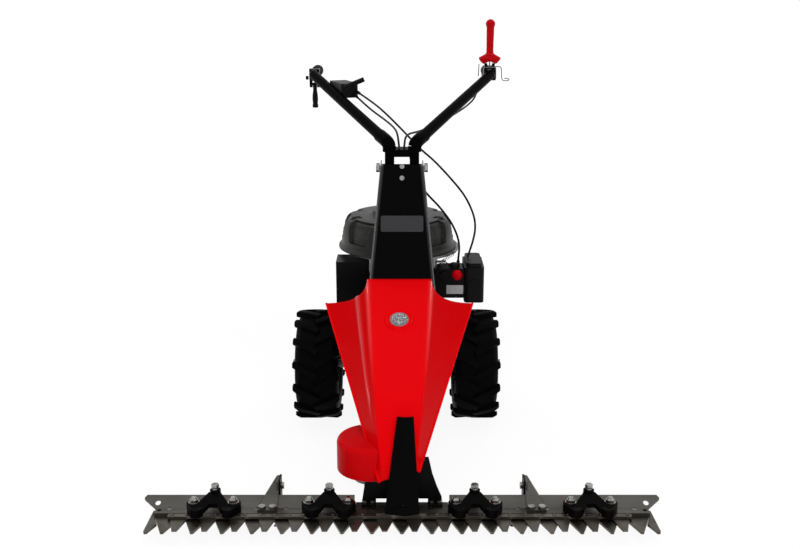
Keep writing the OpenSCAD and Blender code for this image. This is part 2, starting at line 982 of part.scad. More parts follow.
module skid_bolt() {
  translate([skid_at - skid_strip_t, skid_strip_y + skid_strip_w / 2, skid_bolt_z])
    rotate([0, -90, 0]) {
      cylinder(h = bolt_head_h, d = bolt_head_w, $fn = 6);
      translate([0, 0, -skid_strip_t - bracket_t])
        cylinder(h = skid_strip_t + bracket_t + over, d = skid_slot_w - 2 * fit);
    }
  for (x = [small_hole_d, bracket_out - small_hole_d])
    translate([skid_at + x, beam_hole_y, beam_top + bracket_t])
      hex_bolt(bolt_d, bracket_t, bolt_head_w, bolt_head_h);
}

module skid_bolts() {
  color([0.30, 0.30, 0.31]) {
    skid_bolt();
    mirror([1, 0, 0])
      skid_bolt();
  }
}

// Bar mount and divider

module bar_mount() {
  rise = mount_top_z - beam_top;
  draw_in = foot_out - mount_top_half;
  color([0.07, 0.07, 0.07])
    difference() {
      union() {
        translate([0, mount_y, 0])
          rotate([90, 0, 0])
            linear_extrude(mount_t)
              polygon(concat([[-foot_out, beam_top], [-foot_in, beam_top], [-foot_in, mount_bridge_z],
                [foot_in, mount_bridge_z], [foot_in, beam_top]],
                [for (p = mount_curve_shares) [foot_out - p[0] * draw_in, beam_top + p[1] * rise]],
                [[mount_tip_in, mount_top_z], [mount_tip_in, rail_top], [-mount_left_in, rail_top],
                [-mount_left_in, mount_left_top], [-mount_left_out, mount_left_top]]));
        for (s = [-1, 1])
          translate([s * (foot_in + foot_out) / 2 - (foot_out - foot_in) / 2, mount_y - foot_front, beam_top])
            cube([foot_out - foot_in, foot_front, foot_t]);
      }
      for (x = mount_bolt_xs)
        translate([x, mount_y - mount_bolt_in, beam_top - over])
          cylinder(h = foot_t + 2 * over, d = bolt_d + 2 * fit);
    }
}

module bar_bolts() {
  color([0.28, 0.28, 0.29]) {
    for (k = [-finger_side:finger_side])
      translate([k * finger_pitch, finger_bolt_y, finger_z])
        rotate([180, 0, 0])
          hex_bolt(bolt_d, finger_t + beam_t - fit, bolt_head_w, bolt_head_h);
    for (x = mount_bolt_xs)
      translate([x, mount_y - mount_bolt_in, beam_top + foot_t])
        hex_bolt(bolt_d, foot_t + beam_t, mount_bolt_w, bolt_head_h);
  }
}

module divider() {
  ridge_low = [divider_ridge_x - divider_t / 2, divider_bottom_y - divider_ridge, divider_bottom_z];
  ridge_top = [divider_top_shift - divider_t / 2, divider_top_y - divider_ridge / 2,
    divider_top_z - divider_t];
  color([0.07, 0.07, 0.07])
    difference() {
      union() {
        for (s = [-1, 1])
          hull() {
            translate(ridge_low)
              cube(divider_t);
            translate(ridge_top)
              cube(divider_t);
            translate([s * (divider_bottom_half - divider_t / 2) - divider_t / 2, divider_bottom_y,
              divider_bottom_z])
              cube(divider_t);
            translate([divider_top_shift + s * (divider_top_half - divider_t / 2) - divider_t / 2,
              divider_top_y, divider_top_z - divider_t])
              cube(divider_t);
          }
        rotate([90, 0, 90])
          translate([0, 0, -divider_web_t / 2])
            linear_extrude(divider_web_t)
              polygon([[divider_web_y, divider_web_low], [mount_y - mount_t, divider_web_low],
                [mount_y - mount_t, divider_web_high], [divider_web_y + divider_web_lean, divider_web_high]]);
      }
      translate([divider_ridge_x, divider_bottom_y - 3 * divider_ridge, divider_bottom_z + divider_hole_up])
        rotate([-90, 0, 0])
          cylinder(h = 4 * divider_ridge, d = divider_hole_d);
    }
}

// Knife drive

module pitman() {
  pin = [crank_x, crank_y - crank_e];
  eye = [0, crank_y];
  color([0.35, 0.35, 0.36])
    translate([0, 0, pitman_z])
      linear_extrude(pitman_t)
        difference() {
          union() {
            translate(pin)
              circle(d = pitman_eye_d);
            translate(eye)
              circle(d = pitman_eye_d);
            translate((pin + eye) / 2)
              rotate(atan2(eye[1] - pin[1], eye[0] - pin[0]))
                square([pitman_l, pitman_w], center = true);
          }
          translate(pin)
            circle(d = pin_d + 2 * run);
          translate(eye)
            circle(d = pin_d + 2 * run);
        }
}

module crank() {
  color([0.40, 0.40, 0.41])
    translate([crank_x, crank_y, 0]) {
      translate([0, 0, crank_disc_z])
        cylinder(h = crank_disc_t, d = crank_disc_d);
      translate([0, -crank_e, pitman_z + pitman_t + crank_pin_gap])
        cylinder(h = crank_disc_z - pitman_z - pitman_t, d = pin_d);
      translate([0, 0, crank_disc_z])
        cylinder(h = low_belt_z + belt_h + pulley_rim - crank_disc_z, d = crank_shaft_d);
    }
}

module crank_pulley() {
  color([0.32, 0.32, 0.33])
    translate([crank_x, crank_y, 0])
      difference() {
        groove(crank_pulley_r, low_belt_z);
        translate([0, 0, rail_z])
          cylinder(h = rail_h + low_belt_z, d = crank_shaft_d + 2 * fit);
      }
}

module bearing_ring(z, bore) {
  translate([0, jack_y, z])
    difference() {
      cylinder(h = bearing_h, d = bearing_d);
      translate([0, 0, -over])
        cylinder(h = bearing_h + 2 * over, d = bore);
    }
}

module bearings() {
  color([0.45, 0.45, 0.46]) {
    difference() {
      union() {
        translate([crank_x, crank_y, crank_tube_z])
          cylinder(h = rail_top - crank_tube_z, d = crank_tube_d);
        translate([crank_x, crank_y - crank_tube_d / 2, rail_z + crank_lug_t / 2])
          cube([-side_x - crank_x, crank_tube_d, crank_lug_t]);
      }
      translate([crank_x, crank_y, crank_tube_z - over])
        cylinder(h = rail_top, d = crank_shaft_d + 2 * run);
    }
    bearing_ring(cross_z - bearing_h, crank_shaft_d + 2 * run);
    bearing_ring(deck_z - bearing_h, crank_shaft_d + 2 * run);
  }
}

module cover_shell(r, low, high, round_r) {
  rotate_extrude()
    intersection() {
      translate([0, low])
        square([r, high - low]);
      union() {
        translate([0, low])
          square([r, high - low - round_r]);
        translate([0, low])
          square([r - round_r, high - low]);
        translate([r - round_r, high - round_r])
          circle(r = round_r);
      }
    }
}

module belt_way() {
  translate([0, 0, low_belt_z - belt_h])
    linear_extrude(2 * belt_h)
      loop2d([crank_x, crank_y], crank_pulley_r + 2 * belt_t, [0, jack_y], jack_small_r + 2 * belt_t);
}

module crank_cover() {
  low = rail_top - cover_drop;
  high = rail_top + cover_rise;
  color([0.80, 0.04, 0.06])
    difference() {
      translate([crank_x, crank_y, 0])
        difference() {
          cover_shell(cover_d / 2, low, high, cover_round);
          cover_shell(cover_d / 2 - cover_wall, rail_top + cover_floor_t, high - cover_wall,
            cover_round - cover_wall);
          translate([0, 0, low - over])
            cylinder(h = rail_top - low + over, r = cover_d / 2 - cover_wall);
          translate([0, 0, low])
            cylinder(h = high - low - 2 * cover_wall, d = crank_shaft_d + cover_round / 2);
        }
      translate([-side_x - cover_wall, crank_y - cover_d, low - over])
        cube([cover_d, 2 * cover_d, rail_top - low + over]);
      belt_way();
      translate([-2 * fit, -2 * fit, 2 * fit])
        hood_skin([0, 2 * cover_d, -2 * cover_d]);
      hood_hems(hood_hem_d + 2 * slide_gap);
    }
}

module lower_knife_belt() {
  color([0.06, 0.06, 0.06])
    belt([crank_x, crank_y], crank_pulley_r, [0, jack_y], jack_small_r, low_belt_z);
}

module upper_knife_belt() {
  color([0.06, 0.06, 0.06])
    belt([0, engine_y], engine_groove_r, [0, jack_y], jack_big_r, up_belt_z);
}

module drive_belt() {
  color([0.06, 0.06, 0.06])
    belt([0, engine_y], engine_groove_r, [0, input_y], box_groove_r, drive_belt_z);
}

module jackshaft() {
  color([0.38, 0.38, 0.39])
    translate([0, jack_y, 0]) {
      translate([0, 0, cross_z - bearing_h])
        cylinder(h = deck_z - cross_z + bearing_h, d = crank_shaft_d);
      groove(jack_small_r, low_belt_z);
      groove(jack_big_r, up_belt_z);
    }
}

module crankshaft() {
  color([0.38, 0.38, 0.39])
    translate([0, engine_y, 0]) {
      translate([0, 0, shaft_low_z])
        cylinder(h = deck_top + shaft_in - shaft_low_z, d = shaft_d);
      groove(engine_groove_r, up_belt_z);
      groove(engine_groove_r, drive_belt_z);
    }
}

// Carrier

module frame_side() {
  translate([side_x - side_t, 0, 0])
    rotate([90, 0, 90])
      linear_extrude(side_t)
        difference() {
          polygon([[mount_y, rail_z], [tall_rear_y, rail_z], [tall_rear_y, deck_z], [tall_front_y, deck_z],
            [tall_front_y, rail_top], [mount_y, rail_top]]);
          translate([0, axle_z])
            circle(d = axle_tube_d + 2 * fit);
          translate([tall_window_y, axle_z])
            circle(d = tall_window_d);
        }
}

module frame_right() {
  color([0.07, 0.07, 0.07])
    frame_side();
}

module frame_left() {
  color([0.07, 0.07, 0.07])
    mirror([1, 0, 0])
      frame_side();
}

module cross_plate() {
  color([0.07, 0.07, 0.07])
    difference() {
      translate([-side_x, jack_y - cross_front, cross_z])
        cube([2 * side_x, cross_front + cross_rear, cross_t]);
      translate([0, jack_y, cross_z - over])
        cylinder(h = cross_t + 2 * over, d = crank_shaft_d + cross_t);
    }
}

module deck() {
  color([0.07, 0.07, 0.07])
    difference() {
      union() {
        translate([-deck_half, deck_front_y, deck_z])
          cube([2 * deck_half, tall_rear_y - deck_front_y, deck_t]);
        for (s = [-1, 1])
          translate([s * (deck_half - side_t / 2) - side_t / 2, deck_front_y, deck_z - deck_lip])
            cube([side_t, tall_rear_y - deck_front_y, deck_lip + over]);
      }
      translate([0, engine_y, deck_z - over])
        cylinder(h = deck_t + 2 * over, d = deck_hole_d);
      translate([0, jack_y, deck_z - over])
        cylinder(h = deck_t + 2 * over, d = crank_shaft_d + cross_t);
    }
}

module gearbox() {
  length = box_rear_y - box_front_y;
  height = box_top_z - box_low_z;
  color([0.50, 0.50, 0.50])
    difference() {
      union() {
        translate([-box_half, (box_rear_y + box_front_y) / 2, (box_top_z + box_low_z) / 2])
          rotate([90, 0, 90])
            linear_extrude(2 * box_half)
              round_rect(length, height, box_round);
        translate([-box_half - axle_tube_l, 0, axle_z])
          rotate([0, 90, 0])
            cylinder(h = 2 * (box_half + axle_tube_l), d = axle_tube_d);
        for (s = [-1, 1])
          translate([s * (side_x + fit) - (s < 0 ? box_flange_t : 0), 0, axle_z])
            rotate([0, 90, 0])
              cylinder(h = box_flange_t, d = box_flange_d);
        translate([0, input_y, box_top_z - over])
          cylinder(h = box_neck_h + over, d = axle_tube_d);
      }
      translate([-track, 0, axle_z])
        rotate([0, 90, 0])
          cylinder(h = 2 * track, d = axle_d + 2 * run);
      translate([0, input_y, box_low_z + box_round])
        cylinder(h = height + box_neck_h, d = input_d + 2 * run);
    }
}

module gearbox_input() {
  low = box_low_z + box_round + fit;
  color([0.40, 0.40, 0.41])
    translate([0, input_y, 0]) {
      translate([0, 0, low])
        cylinder(h = drive_belt_z + belt_h - low, d = input_d);
      groove(box_groove_r, drive_belt_z);
    }
}

module axle() {
  length = track + tyre_w + 2 * axle_end;
  color([0.45, 0.45, 0.46])
    translate([wheel_off - length / 2, 0, axle_z])
      rotate([0, 90, 0])
        cylinder(h = length, d = axle_d);
}

module on_wheel(side) {
  translate([side * track / 2 + wheel_off, 0, axle_z])
    rotate([0, side * 90, 0])
      children();
}

module rim() {
  difference() {
    union() {
      rotate_extrude()
        polygon([[rim_d / 2 - rim_wall, -rim_w / 2], [rim_d / 2 + rim_lip, -rim_w / 2],
          [rim_d / 2 + rim_lip, -rim_w / 2 + rim_lip], [rim_d / 2, -rim_w / 2 + rim_lip],
          [rim_d / 2, rim_w / 2 - rim_lip], [rim_d / 2 + rim_lip, rim_w / 2 - rim_lip],
          [rim_d / 2 + rim_lip, rim_w / 2], [rim_d / 2 - rim_wall, rim_w / 2]]);
      translate([0, 0, rim_disc_x])
        cylinder(h = rim_wall, r = rim_d / 2 - rim_wall / 2);
      translate([0, 0, -hub_l / 2])
        cylinder(h = hub_l, d = hub_d);
      for (k = [1:wheel_bolt_n])
        rotate(k * 360 / wheel_bolt_n)
          translate([wheel_bolt_r, 0, rim_disc_x + rim_wall / 2])
            cylinder(h = wheel_bolt_h, d = wheel_bolt_head, $fn = 6);
    }
    translate([0, 0, -hub_l])
      cylinder(h = 2 * hub_l, d = axle_d + 2 * fit);
  }
}

module rims() {
  color([0.75, 0.75, 0.74]) {
    on_wheel(1)
      rim();
    on_wheel(-1)
      rim();
  }
}

module tyre() {
  half = tyre_w / 2;
  difference() {
    union() {
      rotate_extrude()
        polygon(concat([for (p = carcass_shares) [bead_r + p[1] * (carcass_r - bead_r), p[0] * half]],
          [for (k = [len(carcass_shares) - 1:-1:0])
            [bead_r + carcass_shares[k][1] * (carcass_r - bead_r), -carcass_shares[k][0] * half]]));
      intersection() {
        rotate_extrude()
          polygon([[carcass_r - lug_h, -half], [axle_z - lug_h / 2, -half], [axle_z, -half + lug_round],
            [axle_z, half - lug_round], [axle_z - lug_h / 2, half], [carcass_r - lug_h, half]]);
        for (s = [-1, 1], k = [1:lug_n])
          rotate(180 + (k + (s > 0 ? 0 : 0.5)) * 360 / lug_n)
            translate([carcass_r - lug_sink, 0, s * half * lug_mid_share])
              rotate([s * lug_skew, 0, 0])
                translate([0, -lug_w / 2, -lug_l / 2])
                  cube([2 * lug_h, lug_w, lug_l]);
      }
    }
    rotate_extrude()
      polygon(concat([for (p = cavity_shares) [bead_r - over + p[1] * (carcass_r - bead_r), p[0] * half]],
        [for (k = [len(cavity_shares) - 1:-1:0])
          [bead_r - over + cavity_shares[k][1] * (carcass_r - bead_r), -cavity_shares[k][0] * half]]));
  }
}

module tyres() {
  color([0.05, 0.05, 0.05]) {
    on_wheel(1)
      tyre();
    on_wheel(-1)
      mirror([0, 1, 0])
        tyre();
  }
}

// Hood

function mix(a, b, t) = a + (b - a) * t;
function hood_curve(t) = (1 - t) * (1 - t) * [hood_nose_y, hood_nose_z]
  + 2 * t * (1 - t) * [hood_ctrl_y, hood_ctrl_z] + t * t * [hood_top_y, hood_top_z];
function hood_slope(t) = 2 * (1 - t) * [hood_ctrl_y - hood_nose_y, hood_ctrl_z - hood_nose_z]
  + 2 * t * [hood_top_y - hood_ctrl_y, hood_top_z - hood_ctrl_z];
function hood_crease(t) = concat([mix(hood_nose_half, hood_top_half, t)], hood_curve(t));
function hood_edge(t) = mix(hood_foot, hood_corner, t);
function hood_low(u, t) = t * (1 - hood_dip * pow(u, hood_dip_bend) * (1 - u));
function hood_point(u, t) = mix(hood_crease(hood_low(u, t)), hood_edge(hood_low(u, t)), u);
function hood_side(i) = i <= hood_wing_cols ? -1 : 1;
function hood_col(i) = hood_side(i) < 0 ? hood_wing_cols - i : i - hood_wing_cols - 1;
function hood_u(i) = pow(hood_col(i) / hood_wing_cols, hood_spread);
function hood_set(s, p, t) = [s * p[0] + hood_off, p[1], p[2] + s * hood_skew * (1 - t)];
function hood_grid(v) = [for (i = [0:hood_cols - 1], j = [0:hood_rows])
  hood_set(hood_side(i), hood_point(hood_u(i), j / hood_rows), j / hood_rows) + v];
function spot(i, j) = i * hood_m + j;

module hood_skin(inward) {
  skin = [for (i = [0:hood_cols - 2], j = [0:hood_rows - 1], f = [0, 1])
    f == 0 ? [spot(i, j), spot(i, j + 1), spot(i + 1, j + 1)]
      : [spot(i, j), spot(i + 1, j + 1), spot(i + 1, j)]];
  back = [for (f = skin) [f[2] + hood_n, f[1] + hood_n, f[0] + hood_n]];
  last = hood_cols - 1;
  sides = [for (j = [0:hood_rows - 1], f = [0:3])
    f == 0 ? [spot(0, j + 1), spot(0, j), spot(0, j) + hood_n]
    : f == 1 ? [spot(0, j + 1), spot(0, j) + hood_n, spot(0, j + 1) + hood_n]
    : f == 2 ? [spot(last, j), spot(last, j + 1), spot(last, j + 1) + hood_n]
    : [spot(last, j), spot(last, j + 1) + hood_n, spot(last, j) + hood_n]];
  ends = [for (i = [0:hood_cols - 2], f = [0:3])
    f == 0 ? [spot(i, 0), spot(i + 1, 0), spot(i + 1, 0) + hood_n]
    : f == 1 ? [spot(i, 0), spot(i + 1, 0) + hood_n, spot(i, 0) + hood_n]
    : f == 2 ? [spot(i + 1, hood_rows), spot(i, hood_rows), spot(i, hood_rows) + hood_n]
    : [spot(i + 1, hood_rows), spot(i, hood_rows) + hood_n, spot(i + 1, hood_rows) + hood_n]];
  polyhedron(concat(hood_grid([0, 0, 0]), hood_grid(inward)), concat(skin, back, sides, ends));
}

module at_lamp() {
  p = hood_curve(lamp_share);
  d = hood_slope(lamp_share);
  translate([hood_off, p[0], p[1]])
    rotate([atan2(d[1], d[0]), 0, 0])
      children();
}

module hood_hems(d) {
  for (s = [-1, 1])
    rod(hood_set(s, hood_foot, 0), hood_set(s, hood_corner, 1), d);
}

module hood() {
  color([0.86, 0.04, 0.06])
    difference() {
      union() {
        hood_skin(hood_in);
        hood_hems(hood_hem_d);
        at_lamp()
          translate([0, 0, -lamp_sink])
            cylinder(h = lamp_ring_t + lamp_sink, d1 = lamp_ring_d, d2 = lamp_ring_d - lamp_ring_t);
      }
      at_lamp() {
        translate([0, 0, -lamp_depth])
          cylinder(h = 2 * lamp_depth, d = lamp_d + 2 * lamp_wall + 2 * fit);
        translate([0, 0, lamp_dish_z])
          cylinder(h = lamp_depth, d1 = lamp_d, d2 = lamp_ring_d + lamp_depth);
      }
      belt_way();
    }
}

module headlight() {
  color([0.80, 0.80, 0.80])
    at_lamp()
      translate([0, 0, lamp_ring_t - lamp_depth])
        difference() {
          cylinder(h = lamp_depth - lamp_ring_t, d = lamp_d + 2 * lamp_wall);
          translate([0, 0, lamp_wall])
            cylinder(h = lamp_depth, d1 = lamp_d / 2, d2 = lamp_d);
          translate([0, 0, lamp_depth - lamp_ring_t - lens_seat])
            cylinder(h = lamp_depth, d = lamp_d + 2 * fit);
        }
}

module headlight_lens() {
  color([0.90, 0.93, 0.95])
    at_lamp()
      translate([0, 0, -lens_seat])
        intersection() {
          cylinder(h = lens_t, d = lamp_d);
          translate([0, 0, lens_t - lens_ball_r])
            sphere(r = lens_ball_r, $fn = fine_n);
        }
}

// Column

module column_slice(y, z, half, inset) {
  translate([-half + inset, y + inset, z])
    cube([2 * (half - inset), col_depth + (inset > 0 ? col_depth : 0), col_t]);
}

module column_body(inset, extra) {
  low = deck_top - extra;
  high = col_top_z + extra;
  hull() {
    column_slice(col_face_y(low + col_t), low, col_half(low), inset);
    column_slice(col_face_y(high), high - col_t, col_half(high), inset);
  }
}

module column() {
  color([0.06, 0.06, 0.06])
    difference() {
      union() {
        difference() {
          column_body(0, 0);
          column_body(col_t, 2 * col_t);
        }
        translate([-col_foot_half, col_face_y(deck_top + col_t), deck_top])
          cube([2 * col_foot_half, col_foot_flange, col_t]);
        translate([-col_top_half, col_face_y(col_top_z), col_top_z - col_lip_h])
          cube([2 * col_top_half, col_lip_d, col_lip_h]);
      }
      translate([-track / 2, tilt_y, tilt_z])
        rotate([0, 90, 0])
          cylinder(h = track, d = tilt_bolt_d + 2 * fit);
    }
}

module column_screws() {
  color([0.10, 0.10, 0.10])
    for (z = column_screw_zs)
      translate([0, col_face_y(z), z])
        rotate([90 - col_angle, 0, 0])
          intersection() {
            cylinder(h = screw_head_h, d = screw_head_d);
            translate([0, 0, -screw_head_d])
              sphere(r = screw_head_d + screw_head_h);
          }
}

module bare_plate() {
  color([0.20, 0.20, 0.21])
    translate([0, col_face_y(plate_z), plate_z])
      rotate([90 - col_angle, 0, 0])
        linear_extrude(plate_t)
          round_rect(plate_w, plate_h, plate_round);
}

// Handlebar

module yoke() {
  color([0.06, 0.06, 0.06])
    difference() {
      union() {
        for (s = [-1, 1])
          translate([s * (yoke_half - yoke_cheek_t / 2) - yoke_cheek_t / 2, tilt_y - yoke_depth / 2,
            tilt_z - yoke_drop])
            cube([yoke_cheek_t, yoke_depth, yoke_top_z - tilt_z + yoke_drop]);
        translate([-yoke_half, tilt_y - yoke_depth / 2, yoke_low_z])
          cube([2 * yoke_half, yoke_cheek_t, yoke_top_z - yoke_low_z]);
        translate([-yoke_half, tilt_y - yoke_depth / 2, yoke_top_z - yoke_cheek_t])
          cube([2 * yoke_half, yoke_depth, yoke_cheek_t]);
      }
      translate([-yoke_window_half, tilt_y - yoke_depth, yoke_low_z + yoke_sill])
        cube([2 * yoke_window_half, yoke_depth, yoke_window_h]);
      translate([-track / 2, tilt_y, tilt_z])
        rotate([0, 90, 0])
          cylinder(h = track, d = tilt_bolt_d + 2 * run);
      for (s = [-1, 1])
        mirror([s > 0 ? 0 : 1, 0, 0])
          rod(arm_start, bend_p, tube_d + 2 * fit);
    }
}

module tilt_bolt() {
  color([0.20, 0.20, 0.21])
    for (s = [-1, 1])
      translate([s * (tilt_ear_x + tilt_head_h / 2), tilt_y, tilt_z])
        rotate([0, 90, 0])
          cylinder(h = tilt_head_h, d = tilt_head_w, $fn = 6, center = true);
  color([0.20, 0.20, 0.21]) {
    translate([-tilt_ear_x - over, tilt_y, tilt_z])
      rotate([0, 90, 0])
        cylinder(h = 2 * tilt_ear_x + 2 * over, d = tilt_bolt_d);
    for (s = [-1, 1])
      translate([s * (yoke_half + tilt_in_x) / 2, tilt_y, tilt_z])
        rotate([0, 90, 0])
          cylinder(h = tilt_in_x - yoke_half - 2 * fit, d = tilt_sleeve_d, center = true);
  }
}

module at_bend() {
  multmatrix([[-bend_m[0], arm_dir[0], bend_n[0], bend_c[0]], [-bend_m[1], arm_dir[1], bend_n[1], bend_c[1]],
    [-bend_m[2], arm_dir[2], bend_n[2], bend_c[2]], [0, 0, 0, 1]])
    children();
}

module tube_ring() {
  difference() {
    circle(d = tube_d);
    circle(d = tube_d - 2 * tube_wall);
  }
}

module tube() {
  at_bend() {
    translate([bend_r, bend_lap])
      rotate([90, 0, 0])
        linear_extrude(norm(bend_p - arm_start) + bend_lap)
          tube_ring();
    rotate_extrude(angle = bend_a)
      translate([bend_r, 0])
        circle(d = tube_d + 2 * fit);
    rotate([0, 0, bend_a])
      translate([bend_r, -bend_lap])
        rotate([-90, 0, 0])
          linear_extrude(rear_y - grip_cap - arm_end_y - bend_cut + bend_lap)
            tube_ring();
  }
}

module tube_right() {
  color([0.05, 0.05, 0.05])
    tube();
}

module tube_left() {
  color([0.05, 0.05, 0.05])
    mirror([1, 0, 0])
      tube();
}

module grip() {
  translate([grip_x, rear_y, handle_z])
    rotate([90, 0, 0])
      difference() {
        cylinder(h = grip_l, d = grip_d);
        translate([0, 0, grip_cap - fit])
          cylinder(h = grip_l, d = tube_d + 2 * fit);
      }
}

module grips() {
  color([0.05, 0.05, 0.05]) {
    grip();
    mirror([1, 0, 0])
      grip();
  }
}

module console() {
  color([0.06, 0.06, 0.06])
    difference() {
      translate([console_x, console_y, console_z - console_h / 2])
        rotate(console_a)
          linear_extrude(console_h)
            round_rect(console_w, console_d, console_round);
      mirror([1, 0, 0])
        rod(arm_start, bend_p, tube_d + 2 * fit);
      translate(throttle_at)
        rotate([90, 0, 0])
          cylinder(h = 2 * throttle_in, d = throttle_stem + 2 * run, center = true);
    }
}

module throttle_lever() {
  color([0.05, 0.05, 0.05]) {
    translate(throttle_at)
      rotate([90, 0, 0])
        translate([0, 0, fit - throttle_in])
          cylinder(h = throttle_in + lever_d / 2, d = throttle_stem);
    translate(throttle_at + [0, -lever_d / 2 - slide_gap, 0])
      rotate([0, 90 - throttle_a, 0])
        cylinder(h = throttle_l, d = lever_d);
  }
}

module lever_clamp(side, block, lug_z) {
  difference() {
    union() {
      translate([side * grip_x - block / 2, lever_y - block / 2, handle_z - block / 2])
        cube(block);
      translate([side * grip_x - tab_half, lever_y, 0])
        rotate([90, 0, 90])
          linear_extrude(2 * tab_half) {
            translate([-tab_w / 2, min(handle_z, lug_z)])
              square([tab_w, abs(lug_z - handle_z)]);
            translate([0, lug_z])
              circle(d = tab_w);
          }
    }
    translate([side * grip_x, lever_y - block, handle_z])
      rotate([-90, 0, 0])
        cylinder(h = 2 * block, d = tube_d + 2 * fit);
    translate([side * grip_x, lever_y, lug_z])
      rotate([0, 90, 0])
        cylinder(h = block, d = clutch_pin_d + 2 * run, center = true);
    translate([side * grip_x - lever_slot / 2, lever_y - block,
      lug_z - (lug_z > handle_z ? slot_drop : tab_w)])
      cube([lever_slot, 2 * block, slot_drop + tab_w]);
  }
}

module lever_brackets() {
  color([0.07, 0.07, 0.07]) {
    lever_clamp(-1, clutch_block, clutch_pin_z);
    lever_clamp(1, red_block, red_pin_z);
  }
}

module clutch_lever() {
  color([0.05, 0.05, 0.05])
    translate([-grip_x, lever_y, clutch_pin_z]) {
      rotate([0, 90, 0])
        cylinder(h = 2 * tab_half, d = clutch_pin_d, center = true);
      translate([0, 0, -clutch_hang])
        cylinder(h = clutch_hang, d = clutch_d);
      translate([0, 0, -clutch_hang])
        cylinder(h = clutch_hang - clutch_neck, d = clutch_grip_d);
      translate([0, 0, -clutch_hang])
        sphere(d = clutch_d + clutch_knob);
    }
}

module safety_lever() {
  color([0.75, 0.03, 0.07])
    translate([grip_x, lever_y, red_pin_z]) {
      rotate([0, 90, 0])
        cylinder(h = 2 * tab_half, d = clutch_pin_d, center = true);
      cylinder(h = red_flange_z, d = clutch_d);
      translate([0, 0, red_flange_z])
        linear_extrude(red_flange_t)
          round_rect(red_flange_w, red_flange_d, red_flange_d / 2 - fit);
      translate([0, 0, red_flange_z])
        cylinder(h = red_top_z - red_pin_z - red_ball_d / 2 - red_flange_z, d = red_d);
      translate([0, 0, red_top_z - red_pin_z - red_ball_d / 2])
        sphere(d = red_ball_d);
    }
}

// Cables

function ring_side(t) = let (s = cross(t, [0, 0, 1])) norm(s) < 0.1 ? [1, 0, 0] : s / norm(s);
function path_dir(p, i) = let (v = p[min(i + 1, len(p) - 1)] - p[max(i - 1, 0)]) v / norm(v);
function bez(a, b, c, t) = (1 - t) * (1 - t) * a + 2 * t * (1 - t) * b + t * t * c;
function smooth(p) = concat([p[0]], [for (i = [1:len(p) - 2], k = [0:cable_steps])
  bez((p[i - 1] + p[i]) / 2, p[i], (p[i] + p[i + 1]) / 2, k / (cable_steps + 1))], [p[len(p) - 1]]);

module cable(route) {
  p = smooth(route);
  n = len(p);
  pts = [for (i = [0:n - 1], k = [0:cable_sides - 1])
    let (t = path_dir(p, i), s = ring_side(t), u = cross(t, s), a = k * 360 / cable_sides)
    p[i] + cable_d / 2 * (cos(a) * s + sin(a) * u)];
  walls = [for (i = [0:n - 2], k = [0:cable_sides - 1], f = [0, 1])
    let (a = i * cable_sides + k, b = i * cable_sides + (k + 1) % cable_sides)
    f == 0 ? [a, b, b + cable_sides] : [a, b + cable_sides, a + cable_sides]];
  first = [for (k = [cable_sides - 1:-1:0]) k];
  last = [for (k = [0:cable_sides - 1]) (n - 1) * cable_sides + k];
  polyhedron(pts, concat(walls, [first, last]));
}

module handle_cables() {
  color([0.04, 0.04, 0.04]) {
    cable(cage_cable_left);
    cable(cage_cable_right);
  }
}

module engine_cables() {
  color([0.04, 0.04, 0.04]) {
    cable(throttle_cable);
    cable(carb_cable);
  }
}

// Engine

module engine_block() {
  stack = fin_n * fin_t + (fin_n - 1) * fin_gap;
  front = engine_y - case_front;
  color([0.55, 0.55, 0.56])
    difference() {
      union() {
        translate([0, engine_y + (case_rear - case_front) / 2, deck_top])
          linear_extrude(case_h)
            round_rect(2 * crank_case_half, case_front + case_rear, case_round);
        translate([0, engine_y, deck_top + case_h - over])
          cylinder(h = lip_up - case_h + over, d = neck_d);
        translate([0, engine_y, blower_low_z - fin_gap])
          cylinder(h = fin_gap, d = blower_d + lip_t);
        translate([-barrel_half, front - stack, deck_top + barrel_low])
          cube([2 * barrel_half, stack + over, barrel_h]);
        for (k = [0:fin_n - 1])
          translate([-fin_half, front - stack + k * (fin_t + fin_gap) - fin_gap / 2, deck_top + fin_low])
            cube([2 * fin_half, fin_t, fin_h]);
        translate([-barrel_half, front - stack - head_block_t, deck_top + barrel_low])
          cube([2 * barrel_half, head_block_t + over, barrel_h]);
      }
      translate([0, engine_y, deck_top - over])
        cylinder(h = shaft_in + 2 * over, d = shaft_d + 2 * run);
    }
}

module dome(r, low, high, round_r) {
  translate([blower_off, engine_y, 0])
    cover_shell(r, low, high, round_r);
}

module blower_housing() {
  color([0.06, 0.06, 0.06])
    difference() {
      union() {
        dome(blower_d / 2, blower_low_z, blower_top_z - starter_h, blower_round);
        translate([blower_off, engine_y, blower_low_z])
          cylinder(h = lip_t, d1 = lip_d, d2 = lip_d - lip_t);
        translate([blower_off, engine_y, blower_top_z - starter_h - over])
          cylinder(h = starter_h + over, d1 = starter_d, d2 = starter_d - starter_h);
      }
      dome(blower_d / 2 - blower_wall, blower_low_z - over, blower_top_z - starter_h - blower_wall,
        blower_round - blower_wall);
      for (k = [0:window_n - 1])
        translate([blower_off, engine_y, blower_low_z + window_up])
          rotate((k + 0.5) * 360 / window_n)
            translate([blower_d / 2 - window_in, -window_w / 2, 0])
              cube([2 * window_in, window_w, window_h]);
    }
}

module starter_grip() {
  y = engine_y + blower_d / 2;
  color([0.05, 0.05, 0.05]) {
    translate([blower_off, y + fit, starter_grip_z])
      rotate([-90, 0, 0])
        cylinder(h = starter_post_l, d = lever_d);
    translate([blower_off - starter_bar_l / 2, y + starter_post_l, starter_grip_z])
      rotate([0, 90, 0])
        cylinder(h = starter_bar_l, d = lever_d);
  }
}

